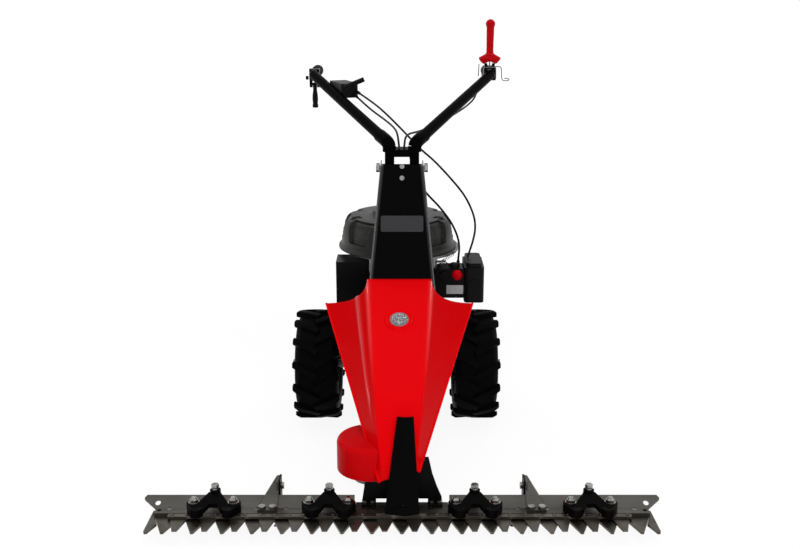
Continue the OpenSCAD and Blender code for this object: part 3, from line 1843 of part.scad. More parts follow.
module muffler() {
  color([0.40, 0.38, 0.36]) {
    translate([muffler_x + muffler_w / 2, muffler_y + muffler_l / 2, muffler_z])
      linear_extrude(muffler_h)
        round_rect(muffler_w, muffler_l, muffler_round);
    translate([muffler_x + muffler_w - over, muffler_y + muffler_l / 2, muffler_z + muffler_h / 2])
      rotate([0, 90, 0])
        cylinder(h = -fin_half - muffler_x - muffler_w + over, d = pipe_d);
  }
}

module muffler_guard() {
  w = muffler_w + guard_gap + guard_t;
  h = muffler_h + 2 * guard_gap + 2 * guard_t;
  l = muffler_l + guard_gap + guard_t;
  off = guard_gap + guard_t;
  corner = [muffler_x - off, muffler_y - off, muffler_z - off];
  color([0.06, 0.06, 0.06])
    difference() {
      union() {
        difference() {
          translate(corner)
            cube([w, l, h]);
          translate(corner + [guard_t, guard_t, guard_t])
            cube([w, l, h - 2 * guard_t]);
        }
        for (share = post_shares)
          translate([muffler_x + muffler_w / 2, muffler_y, muffler_z + share * muffler_h])
            rotate([90, 0, 0])
              cylinder(h = guard_gap + guard_t / 2, d = lever_d);
      }
      for (k = [1:guard_slots])
        translate([corner[0] - over, corner[1] + guard_edge,
          corner[2] + k * h / (guard_slots + 1) - guard_slot_w / 2])
          cube([guard_t + 2 * over, l - 2 * guard_edge, guard_slot_w]);
    }
}

module carburettor() {
  color([0.09, 0.09, 0.09])
    difference() {
      union() {
        translate([carb_x + carb_w / 2, carb_y + carb_l / 2, carb_z])
          linear_extrude(carb_h)
            round_rect(carb_w, carb_l, carb_round);
        translate([fin_half, carb_y + carb_l / 2, carb_z + carb_h / 2])
          rotate([0, 90, 0])
            cylinder(h = carb_x - fin_half + over, d = pipe_d);
        translate([choke_x, carb_y + over, carb_z + choke_up])
          rotate([90, 0, 0])
            cylinder(h = choke_h + over, d = choke_d);
      }
      translate([choke_x - choke_d, carb_y - choke_h - over, carb_z + choke_up - choke_slot / 2])
        cube([2 * choke_d, choke_slot + over, choke_slot]);
      translate([primer_x, carb_y - over, carb_z + primer_up])
        rotate([-90, 0, 0])
          cylinder(h = primer_seat + over, d = primer_d + 2 * fit);
    }
}

module primer_bulb() {
  color([0.80, 0.03, 0.06])
    translate([primer_x, carb_y + primer_seat - primer_travel, carb_z + primer_up])
      rotate([90, 0, 0])
        intersection() {
          cylinder(h = primer_h, d = primer_d);
          translate([0, 0, primer_h - primer_ball_r])
            sphere(r = primer_ball_r);
        }
}

module air_filter() {
  color([0.06, 0.06, 0.06]) {
    translate([filter_x + filter_w / 2, filter_y + filter_l / 2, filter_z])
      linear_extrude(filter_h - filter_lid_t)
        round_rect(filter_w, filter_l, filter_round);
    translate([filter_x + filter_w / 2, filter_y + filter_l / 2, filter_z + filter_h - filter_lid_t - over])
      linear_extrude(filter_lid_t + over)
        round_rect(filter_w - filter_lid_t, filter_l - filter_lid_t, filter_round);
    translate([filter_x + filter_w / 2, filter_y - fin_t, filter_z + filter_h / 2])
      rotate([-90, 0, 0])
        cylinder(h = 2 * fin_t, d = choke_d);
  }
}

module fuel_tank() {
  color([0.07, 0.07, 0.07]) {
    translate([0, tank_y + tank_l / 2, tank_z])
      linear_extrude(tank_h)
        round_rect(tank_w, tank_l, tank_round);
    translate([tank_cap_x, tank_y + tank_l - cap_d / 2 - fin_gap, tank_z + tank_h - over])
      cylinder(h = fin_gap + over, d = cap_d - fin_gap);
  }
}

module engine_caps() {
  head_y = engine_y - case_front - fin_n * fin_t - (fin_n - 1) * fin_gap - head_block_t;
  color([0.05, 0.05, 0.05]) {
    translate([tank_cap_x, tank_y + tank_l - cap_d / 2 - fin_gap, tank_z + tank_h + fin_gap])
      cylinder(h = cap_h, d = cap_d);
    translate([oil_x, oil_y, deck_top + case_h])
      cylinder(h = oil_h, d = oil_tube_d);
    translate([oil_x, oil_y, deck_top + case_h + oil_h - over])
      cylinder(h = oil_cap_h + over, d = oil_cap_d);
    translate([0, head_y, deck_top + barrel_low + barrel_h / 2])
      rotate([90, 0, 0])
        cylinder(h = plug_l, d = plug_d);
  }
}

// Nodes drawn

bar_beam();
fingers();
bar_bolts();
knife_sections();
knife_back();
knife_head();
hold_downs();
hold_down_bolts();
skid_brackets();
skids();
skid_bolts();
bar_mount();
divider();
pitman();
crank();
crank_pulley();
bearings();
crank_cover();
lower_knife_belt();
jackshaft();
upper_knife_belt();
crankshaft();
frame_left();
frame_right();
cross_plate();
deck();
gearbox();
gearbox_input();
drive_belt();
axle();
rims();
tyres();
hood();
headlight();
headlight_lens();
column();
column_screws();
bare_plate();
yoke();
tilt_bolt();
tube_left();
tube_right();
grips();
console();
throttle_lever();
lever_brackets();
clutch_lever();
safety_lever();
handle_cables();
engine_cables();
engine_block();
blower_housing();
starter_grip();
muffler();
muffler_guard();
carburettor();
primer_bulb();
air_filter();
fuel_tank();
engine_caps();
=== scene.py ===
"""Looks of a walk-behind sickle bar mower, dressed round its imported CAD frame.

Sizes are in millimetres in the frame's axes: +Z up, the finger bar at -Y, the axle over the origin.
"""

import logging
import math
from dataclasses import dataclass
from enum import Enum
from typing import Any, ClassVar, Optional, Sequence, Union

import bmesh
import bpy
import numpy as np
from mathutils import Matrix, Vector


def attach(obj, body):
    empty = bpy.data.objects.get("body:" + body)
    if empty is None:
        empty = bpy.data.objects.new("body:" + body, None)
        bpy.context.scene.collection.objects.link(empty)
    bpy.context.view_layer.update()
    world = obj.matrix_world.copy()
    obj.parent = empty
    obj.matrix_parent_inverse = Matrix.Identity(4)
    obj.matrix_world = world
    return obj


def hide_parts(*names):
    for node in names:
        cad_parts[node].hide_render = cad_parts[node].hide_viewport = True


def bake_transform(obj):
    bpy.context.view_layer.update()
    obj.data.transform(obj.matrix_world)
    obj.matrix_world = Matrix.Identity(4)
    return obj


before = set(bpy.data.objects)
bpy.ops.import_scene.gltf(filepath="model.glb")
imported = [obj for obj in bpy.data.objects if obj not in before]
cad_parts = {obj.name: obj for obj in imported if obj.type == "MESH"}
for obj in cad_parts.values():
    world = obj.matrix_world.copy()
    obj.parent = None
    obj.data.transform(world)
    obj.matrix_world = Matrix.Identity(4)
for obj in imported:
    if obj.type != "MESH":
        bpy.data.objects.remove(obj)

LOG = logging.getLogger("mower")
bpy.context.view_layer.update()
MM = 0.001
FULL_TURN = 2 * math.pi
QUARTER_TURN = math.pi / 2

# Mesh cleaning, in metres, the angle from which an edge is sharp, and steps across its rounding
MERGE_GAP = 1e-6
SLIVER = 1e-7
WELD_GAP = 1e-5
SHARP_ANGLE = math.radians(38)
BEVEL_STEPS = 2

# Upward share of a direction from which another axis gives the side, and the least length
UPRIGHT = 0.9
NEARLY_UPRIGHT = 0.97
NO_LENGTH = 1e-12

# Point attributes: glossy bends, and the share of a finish's darker colour that paints shade on a
# surface
GLEAM = "gleam"
PAINTED_SHADE = "painted_shade"

# Curve of a display: a straight line below the knee, a power above it
DISPLAY_MAX = 255
DISPLAY_KNEE = 0.04045
DISPLAY_SLOPE = 12.92
DISPLAY_LIFT = 0.055
DISPLAY_POWER = 2.4
WHITE = (1, 1, 1, 1)

Array = np.ndarray
Colour = tuple[float, float, float]
Rgba = tuple[float, float, float, float]
Point = tuple[float, float, float]
Span = tuple[float, float]
Profile = tuple[Span, ...]
Route = tuple[Point, ...]
Value = Union["Sock", float, tuple]

FORWARD = (0, -1, 0)
UP = (0, 0, 1)


def linear(colour: Colour) -> Rgba:
    """Turns a display colour into the linear colour that a shader takes, by the display's curve.

    Args:
        colour: red, green and blue from 0 to 255.

    Returns:
        Linear red, green, blue and an alpha of one.
    """
    c = np.asarray(colour, float) / DISPLAY_MAX
    curve = ((c + DISPLAY_LIFT) / (1 + DISPLAY_LIFT)) ** DISPLAY_POWER
    r, g, b = np.where(c <= DISPLAY_KNEE, c / DISPLAY_SLOPE, curve)
    return float(r), float(g), float(b), 1.0


# Shader sockets and finishes


class Sock:
    """A node's output socket with arithmetic, so that an expression adds its Math nodes."""

    def __init__(self, tree: "ShaderTree", socket: Any) -> None:
        """Keeps the tree that owns the socket."""
        self.tree = tree
        self.socket = socket

    def _math(self, operation: str, a: Value, b: Value) -> "Sock":
        """Adds one Math node of two values."""
        return self.tree.node("ShaderNodeMath", {"operation": operation}, {0: a, 1: b})

    def __add__(self, other: Value) -> "Sock":
        """Sum of two values."""
        return self._math("ADD", self, other)

    __radd__ = __add__

    def __sub__(self, other: Value) -> "Sock":
        """Difference of two values."""
        return self._math("SUBTRACT", self, other)

    def __rsub__(self, other: Value) -> "Sock":
        """Difference with this value taken away."""
        return self._math("SUBTRACT", other, self)

    def __mul__(self, other: Value) -> "Sock":
        """Product of two values."""
        return self._math("MULTIPLY", self, other)

    __rmul__ = __mul__

    def over(self, edge: float, width: float) -> "Sock":
        """A soft step from zero to one as this value passes an edge."""
        return self.tree.node(
            "ShaderNodeMapRange",
            {"interpolation_type": "SMOOTHSTEP"},
            {"Value": self, "From Min": edge - width, "From Max": edge + width},
        )


class ShaderTree:
    """A node tree that is filled through one node-making method."""

    BACKDROP_RAYS: ClassVar[tuple[str, ...]] = ("Camera", "Glossy", "Transmission")

    def __init__(self, tree: Any) -> None:
        """Empties the tree."""
        self.tree = tree
        tree.nodes.clear()

    def node(
        self,
        kind: str,
        settings: Optional[dict[str, Any]] = None,
        sockets: Optional[dict[Any, Any]] = None,
        out: Any = 0,
    ) -> Sock:
        """Adds a node.

        Args:
            kind: the node's type name.
            settings: properties that are set first.
            sockets: input names or numbers with values or links.
            out: the output that is handed back.

        Returns:
            The chosen output.
        """
        made = self.tree.nodes.new(kind)
        for key, value in (settings or {}).items():
            setattr(made, key, value)
        for key, value in (sockets or {}).items():
            if isinstance(value, Sock):
                self.tree.links.new(value.socket, made.inputs[key])
            else:
                made.inputs[key].default_value = value
        return Sock(self, made.outputs[out]) if len(made.outputs) else Sock(self, None)

    def place(self, stretch: Point = (1, 1, 1)) -> Sock:
        """Object coordinates, stretched."""
        where = self.node("ShaderNodeTexCoord", out="Object")
        return self.node("ShaderNodeMapping", {}, {"Vector": where, "Scale": stretch})

    def attribute(self, name: str) -> Sock:
        """The value of a point attribute."""
        return self.node("ShaderNodeAttribute", {"attribute_name": name}, out="Fac")

    def noise(self, where: Sock, scale: float, detail: float, rough: float) -> Sock:
        """Noise from zero to one at a number of waves per metre."""
        return self.node(
            "ShaderNodeTexNoise",
            {},
            {"Vector": where, "Scale": scale, "Detail": detail, "Roughness": rough},
        )

    def mix(self, share: Value, a: Value, b: Value) -> Sock:
        """Colour between a and b."""
        return self.node("ShaderNodeMix", {"data_type": "RGBA"}, {0: share, 6: a, 7: b}, out=2)

    def blend(self, share: Value, a: Sock, b: Sock) -> Sock:
        """Shader between a and b."""
        return self.node("ShaderNodeMixShader", {}, {0: share, 1: a, 2: b})

    def bump(self, height: Sock, depth: float, strength: float = 1.0) -> Sock:
        """Surface normals bent by a height map of a given depth in metres."""
        sockets = {"Strength": strength, "Distance": depth, "Height": height}
        return self.node("ShaderNodeBump", {}, sockets)

    def seen(self) -> Sock:
        """One for rays that show the backdrop: from the camera, off gloss and through glass."""
        first, *others = (
            self.node("ShaderNodeLightPath", out=f"Is {kind} Ray") for kind in self.BACKDROP_RAYS
        )
        return sum(others, first).over(0.5, 0.5)


class Coating:
    """A material that is made once and shared by all that it covers."""

    name: str

    def skin(self, tree: ShaderTree) -> Sock:
        """The surface shader, which each kind of coating makes its own way."""
        raise NotImplementedError

    def material(self) -> bpy.types.Material:
        """Builds the material once, and hands back the same one later.

        Returns:
            The material.
        """
        if self.name in bpy.data.materials:
            return bpy.data.materials[self.name]
        made = bpy.data.materials.new(self.name)
        made.use_nodes = True
        tree = ShaderTree(made.node_tree)
        tree.node("ShaderNodeOutputMaterial", {}, {"Surface": self.skin(tree)})
        return made


class Relief(Enum):
    """The kind of fine relief that a finish has, with its noise's detail and roughness."""

    PEEL = (1.0, 0.4)
    CAST = (5.0, 0.7)
    GRAIN = (3.0, 0.55)
    BRUSHED = (2.0, 0.7)


@dataclass(frozen=True)
class Finish(Coating):
    """One surface finish: base colour, patches of a second tone, gloss and fine relief."""

    name: str
    colour: Colour
    second: Colour
    share: float
    patch: float
    rough: float
    rough_spread: float
    relief: Relief
    depth: float
    scale: float
    metal: float = 0.0
    specular: float = 0.5
    stretch: Point = (1, 1, 1)
    gleam: bool = False
    # Darker colour that paints shade where the painted shade attribute is one
    painted_shade_colour: Optional[Colour] = None

    MIDDLE: ClassVar[float] = 0.5
    PATCH_NOISE: ClassVar[Span] = (4.0, 0.6)
    PATCH_EDGE: ClassVar[Span] = (0.55, 0.22)
    FINE_NOISE: ClassVar[Span] = (3.0, 0.6)
    FINE_RATIO: ClassVar[float] = 9.0
    FINE_SHARE: ClassVar[float] = 0.4
    COAT_ROUGH: ClassVar[float] = 0.05
    BRUSH_DRAW: ClassVar[float] = 0.05
    GRAIN_CELLS: ClassVar[float] = 0.7
    GRAIN_NOISE: ClassVar[float] = 0.6
    GRAIN_RATIO: ClassVar[float] = 0.4

    def skin(self, tree: ShaderTree) -> Sock:
        """Two noise patterns set tone and gloss, a third sets the relief.

        Args:
            tree: the material's nodes.

        Returns:
            The surface shader.
        """
        where = tree.place(self.stretch)
        patch = tree.noise(where, self.patch, *self.PATCH_NOISE)
        fine = tree.noise(where, self.patch * self.FINE_RATIO, *self.FINE_NOISE)
        off_patch, off_fine = patch - self.MIDDLE, fine - self.MIDDLE
        speckle = off_fine * (self.FINE_SHARE * self.share)
        tone = patch.over(*self.PATCH_EDGE) * self.share + speckle
        colour = tree.mix(tone, linear(self.colour), linear(self.second))
        # Painted shade: the colour goes towards the darker colour as the painted shade attribute
        # rises
        if self.painted_shade_colour:
            colour = tree.mix(tree.attribute(PAINTED_SHADE), colour, linear(self.painted_shade_colour))
        spread = off_patch * self.rough_spread + off_fine * self.rough_spread
        sockets: dict[str, Any] = {
            "Base Color": colour,
            "Roughness": spread + self.rough,
            "Metallic": self.metal,
            "Specular IOR Level": self.specular,
            "Coat Weight": tree.attribute(GLEAM) if self.gleam else 0.0,
            "Coat Roughness": self.COAT_ROUGH,
            "Normal": tree.bump(self.height(tree), self.depth),
        }
        return tree.node("ShaderNodeBsdfPrincipled", {}, sockets)

    def height(self, tree: ShaderTree) -> Sock:
        """The relief's height map: noise, drawn out along X if brushed, with cells if grained.

        Args:
            tree: the material's nodes.

        Returns:
            Heights of about zero to one.
        """
        brushed = self.relief is Relief.BRUSHED
        where = tree.place((self.stretch[0] * self.BRUSH_DRAW, 1, 1) if brushed else (1, 1, 1))
        if self.relief is not Relief.GRAIN:
            return tree.noise(where, self.scale, *self.relief.value)
        cells = tree.node("ShaderNodeTexVoronoi", {}, {"Vector": where, "Scale": self.scale})
        soft = tree.noise(where, self.scale * self.GRAIN_RATIO, *self.relief.value)
        return cells * self.GRAIN_CELLS + soft * self.GRAIN_NOISE


@dataclass(frozen=True)
class LensFinish(Coating):
    """Clear glass with pressed vertical flutes."""

    name: str = "clear_lens"
    tint: Rgba = (0.95, 0.97, 0.98, 1)
    rough: float = 0.04
    clear: float = 0.92
    ior: float = 1.45
    flutes: float = 65.0
    flute_depth: float = 0.0006
    flute_bend: float = 0.7

    def skin(self, tree: ShaderTree) -> Sock:
        """The flutes are a wave across the lens that bends its normals.

        Args:
            tree: the material's nodes.

        Returns:
            The surface shader.
        """
        sockets = {"Vector": tree.place(), "Scale": self.flutes}
        wave = tree.node("ShaderNodeTexWave", {"bands_direction": "X"}, sockets)
        glass = {
            "Base Color": self.tint,
            "Roughness": self.rough,
            "Transmission Weight": self.clear,
            "IOR": self.ior,
            "Normal": tree.bump(wave, self.flute_depth, self.flute_bend),
        }
        return tree.node("ShaderNodeBsdfPrincipled", {}, glass)


@dataclass(frozen=True)
class FloorFinish(Coating):
    """Floor that shows white and keeps a light shadow near the machine."""

    name: str = "pale_floor"
    paint: Rgba = (0.95, 0.95, 0.95, 1)
    glow: float = 1.05
    near_share: float = 0.86
    far: Span = (1.5, 0.7)

    def skin(self, tree: ShaderTree) -> Sock:
        """Paint and glow, where the glow's share grows to one with the distance from the machine.

        Args:
            tree: the material's nodes.

        Returns:
            The surface shader.
        """
        matt = tree.node("ShaderNodeBsdfDiffuse", {}, {"Color": self.paint})
        glow = tree.node("ShaderNodeEmission", {}, {"Color": WHITE, "Strength": self.glow})
        length = {"operation": "LENGTH"}
        away = tree.node("ShaderNodeVectorMath", length, {0: tree.place()}, out="Value")
        share = away.over(*self.far) * (1 - self.near_share) + self.near_share
        return tree.blend(tree.seen() * share, matt, glow)


# A darker copy of the hood's red: painted shade on the crank cover
RED_COVER_PAINTED_SHADE = Finish(
    "red_cover_painted_shade", (206, 8, 14), (192, 5, 10), share=0.3, patch=5.0, rough=0.3,
    rough_spread=0.06, relief=Relief.PEEL, depth=0.00002, scale=300, specular=0.02,
)
# The hood's red; its darker red, (206, 4, 10), is painted shade on the wings
RED_PAINT = Finish(
    "red_powder_paint", (232, 6, 13), (224, 3, 10), share=0.3, patch=3.0, rough=0.24,
    rough_spread=0.05, relief=Relief.PEEL, depth=0.00002, scale=300, specular=0.015,
    gleam=True, painted_shade_colour=(206, 4, 10),
)
BLACK_TUBE = Finish(
    "black_tube_paint", (5, 5, 6), (9, 9, 10), share=0.4, patch=4.0, rough=0.24,
    rough_spread=0.06, relief=Relief.PEEL, depth=0.00002, scale=300, specular=0.003,
)
BLACK_PAINT = Finish(
    "black_gloss_paint", (5, 5, 6), (9, 9, 10), share=0.4, patch=4.0, rough=0.2,
    rough_spread=0.06, relief=Relief.PEEL, depth=0.00002, scale=300, specular=0.02, gleam=True,
)
BLACK_SATIN = Finish(
    "black_satin_paint", (8, 8, 8), (15, 14, 13), share=0.5, patch=14.0, rough=0.34,
    rough_spread=0.16, relief=Relief.PEEL, depth=0.00004, scale=420, specular=0.05,
)
BLACK_CAST = Finish(
    "black_casting", (6, 6, 6), (13, 12, 11), share=0.5, patch=22.0, rough=0.3,
    rough_spread=0.18, relief=Relief.CAST, depth=0.0003, scale=160, specular=0.02,
)
BAR_STEEL = Finish(
    "rolled_bar_steel", (96, 94, 90), (60, 56, 51), share=0.7, patch=7.0, metal=1.0, rough=0.4,
    rough_spread=0.24, relief=Relief.BRUSHED, depth=0.00006, scale=900, stretch=(0.35, 1, 1),
)
BLADE_STEEL = Finish(
    "ground_blade_steel", (98, 94, 88), (58, 52, 46), share=0.75, patch=16.0, metal=1.0, rough=0.4,
    rough_spread=0.24, relief=Relief.BRUSHED, depth=0.00006, scale=1100,
)
# Its dark second tone in patches is partly the plating's own tone and partly painted reflection,
# the dark reflections of bright plated bolts
ZINC_PAINTED_REFLECTION = Finish(
    "zinc_fastener_painted_reflection", (160, 160, 158), (66, 63, 58), share=0.7, patch=60.0, metal=1.0, rough=0.16,
    rough_spread=0.12, relief=Relief.CAST, depth=0.00003, scale=500,
)
TURNED = Finish(
    "turned_steel", (120, 120, 121), (88, 86, 84), share=0.4, patch=20.0, metal=1.0, rough=0.34,
    rough_spread=0.14, relief=Relief.BRUSHED, depth=0.00005, scale=900,
)
BELT = Finish(
    "frayed_belt_rubber", (16, 16, 16), (28, 27, 26), share=0.5, patch=30.0, rough=0.75,
    rough_spread=0.12, relief=Relief.GRAIN, depth=0.0001, scale=500, specular=0.15,
)
IRON = Finish(
    "cast_gearbox_iron", (22, 22, 23), (34, 32, 31), share=0.5, patch=12.0, rough=0.55,
    rough_spread=0.16, relief=Relief.CAST, depth=0.0004, scale=140, specular=0.1,
)
ALLOY = Finish(
    "cast_engine_alloy", (128, 128, 128), (88, 86, 82), share=0.5, patch=14.0, metal=0.85,
    rough=0.5, rough_spread=0.18, relief=Relief.CAST, depth=0.0003, scale=140,
)
PLASTIC = Finish(
    "black_grained_plastic", (11, 11, 12), (17, 17, 17), share=0.4, patch=10.0, rough=0.44,
    rough_spread=0.08, relief=Relief.GRAIN, depth=0.00004, scale=420, specular=0.08,
)
SHROUD = Finish(
    "black_shroud_plastic", (20, 19, 18), (32, 30, 28), share=0.5, patch=7.0, rough=0.42,
    rough_spread=0.08, relief=Relief.GRAIN, depth=0.00003, scale=420, specular=0.2,
)
RED_PLASTIC = Finish(
    "red_moulded_plastic", (188, 3, 17), (174, 2, 14), share=0.4, patch=12.0, rough=0.34,
    rough_spread=0.06, relief=Relief.GRAIN, depth=0.00002, scale=500, specular=0.06,
)
HOT_STEEL = Finish(
    "heat_darkened_steel", (46, 43, 40), (62, 50, 40), share=0.6, patch=16.0, metal=0.9,
    rough=0.5, rough_spread=0.2, relief=Relief.CAST, depth=0.0002, scale=300,
)
TYRE = Finish(
    "moulded_tyre_rubber", (8, 8, 8), (15, 14, 13), share=0.55, patch=12.0, rough=0.5,
    rough_spread=0.16, relief=Relief.CAST, depth=0.0002, scale=200, specular=0.012,
)
GRIP = Finish(
    "grained_grip_rubber", (14, 14, 14), (22, 22, 21), share=0.4, patch=24.0, rough=0.65,
    rough_spread=0.1, relief=Relief.GRAIN, depth=0.00008, scale=500, specular=0.1,
)
CHROME = Finish(
    "polished_lamp_chrome", (150, 152, 156), (96, 98, 103), share=0.3, patch=30.0, metal=1.0,
    rough=0.08, rough_spread=0.04, relief=Relief.PEEL, depth=0.00002, scale=200,
)
SHEATH = Finish(
    "black_cable_sheath", (9, 9, 9), (15, 15, 15), share=0.4, patch=40.0, rough=0.4,
    rough_spread=0.1, relief=Relief.GRAIN, depth=0.00003, scale=600, specular=0.1,
)
BARE_SILVER = Finish(
    "bare_silver_plate", (168, 169, 170), (140, 141, 142), share=0.5, patch=40.0, metal=0.7,
    rough=0.4, rough_spread=0.1, relief=Relief.BRUSHED, depth=0.00003, scale=900,
)
BARE_GREY = Finish(
    "bare_dark_plate", (46, 46, 48), (54, 54, 56), share=0.4, patch=14.0, rough=0.36,
    rough_spread=0.06, relief=Relief.PEEL, depth=0.00002, scale=400, specular=0.2,
)
LENS = LensFinish()
PALE_FLOOR = FloorFinish()


# Surfaces


def unit(rows: Array) -> Array:
    """Vectors divided by their own lengths."""
    return rows / np.maximum(np.linalg.norm(rows, axis=-1, keepdims=True), NO_LENGTH)


def mix(a: Any, b: Any, share: Any) -> Array:
    """Straight blend from a to b."""
    return np.asarray(a, float) * (1 - share) + np.asarray(b, float) * share


def ease(x: Array, low: Any, high: Any) -> Array:
    """Smooth step: zero below low, one above high, and 3s^2 - 2s^3 between."""
    s = np.clip((x - low) / (high - low), 0, 1)
    return s * s * (3 - 2 * s)


def band(x: Array, start: Span, stop: Span) -> Array:
    """One between two soft steps, and zero before the first and after the second."""
    return ease(x, *start) * (1 - ease(x, *stop))


def bell(x: Array, width: float) -> Array:
    """Bell curve exp(-(x / width)^2)."""
    return np.exp(-((x / width) ** 2))


def turn_steps(steps: int) -> Array:
    """Angles of a full turn in equal steps, the first not repeated."""
    return np.linspace(0, FULL_TURN, steps, endpoint=False)


def frame_of(axis: Sequence[float]) -> tuple[Array, Array, Array]:
    """Three unit vectors, the last along an axis.

    Args:
        axis: direction that becomes the third vector.

    Returns:
        Side, up and along.
    """
    along = unit(np.asarray(axis, float))
    hint = np.array([0.0, 0.0, 1.0]) if abs(along[2]) < UPRIGHT else np.array([1.0, 0.0, 0.0])
    side = unit(np.cross(hint, along))
    return side, np.cross(along, side), along


def soft_path(points: Sequence[Sequence[float]], steps: int = 10) -> Array:
    """Quadratic B-spline: one Bezier arc per inner point, from middle to middle of its two legs.

    Args:
        points: corner points of the route.
        steps: points on each arc.

    Returns:
        Points of the curve, with both ends kept.
    """
    p = np.asarray(points, float)
    a, b, c = (p[:-2] + p[1:-1]) / 2, p[1:-1], (p[1:-1] + p[2:]) / 2
    t = np.linspace(0, 1, steps, endpoint=False)[None, :, None]
    arcs = (1 - t) ** 2 * a[:, None] + 2 * t * (1 - t) * b[:, None] + t * t * c[:, None]
    return np.concatenate([p[:1], arcs.reshape(-1, 3), c[-1:], p[-1:]])


def front_rings(rings: Sequence[tuple[Array, float]]) -> Array:
    """Stands flat outlines one behind the other: point = (x, y of its ring, z).

    Args:
        rings: outlines of x and z, each with its y.

    Returns:
        Rings by points by three.
    """
    return np.stack([np.insert(outline, 1, y, axis=1) for outline, y in rings])


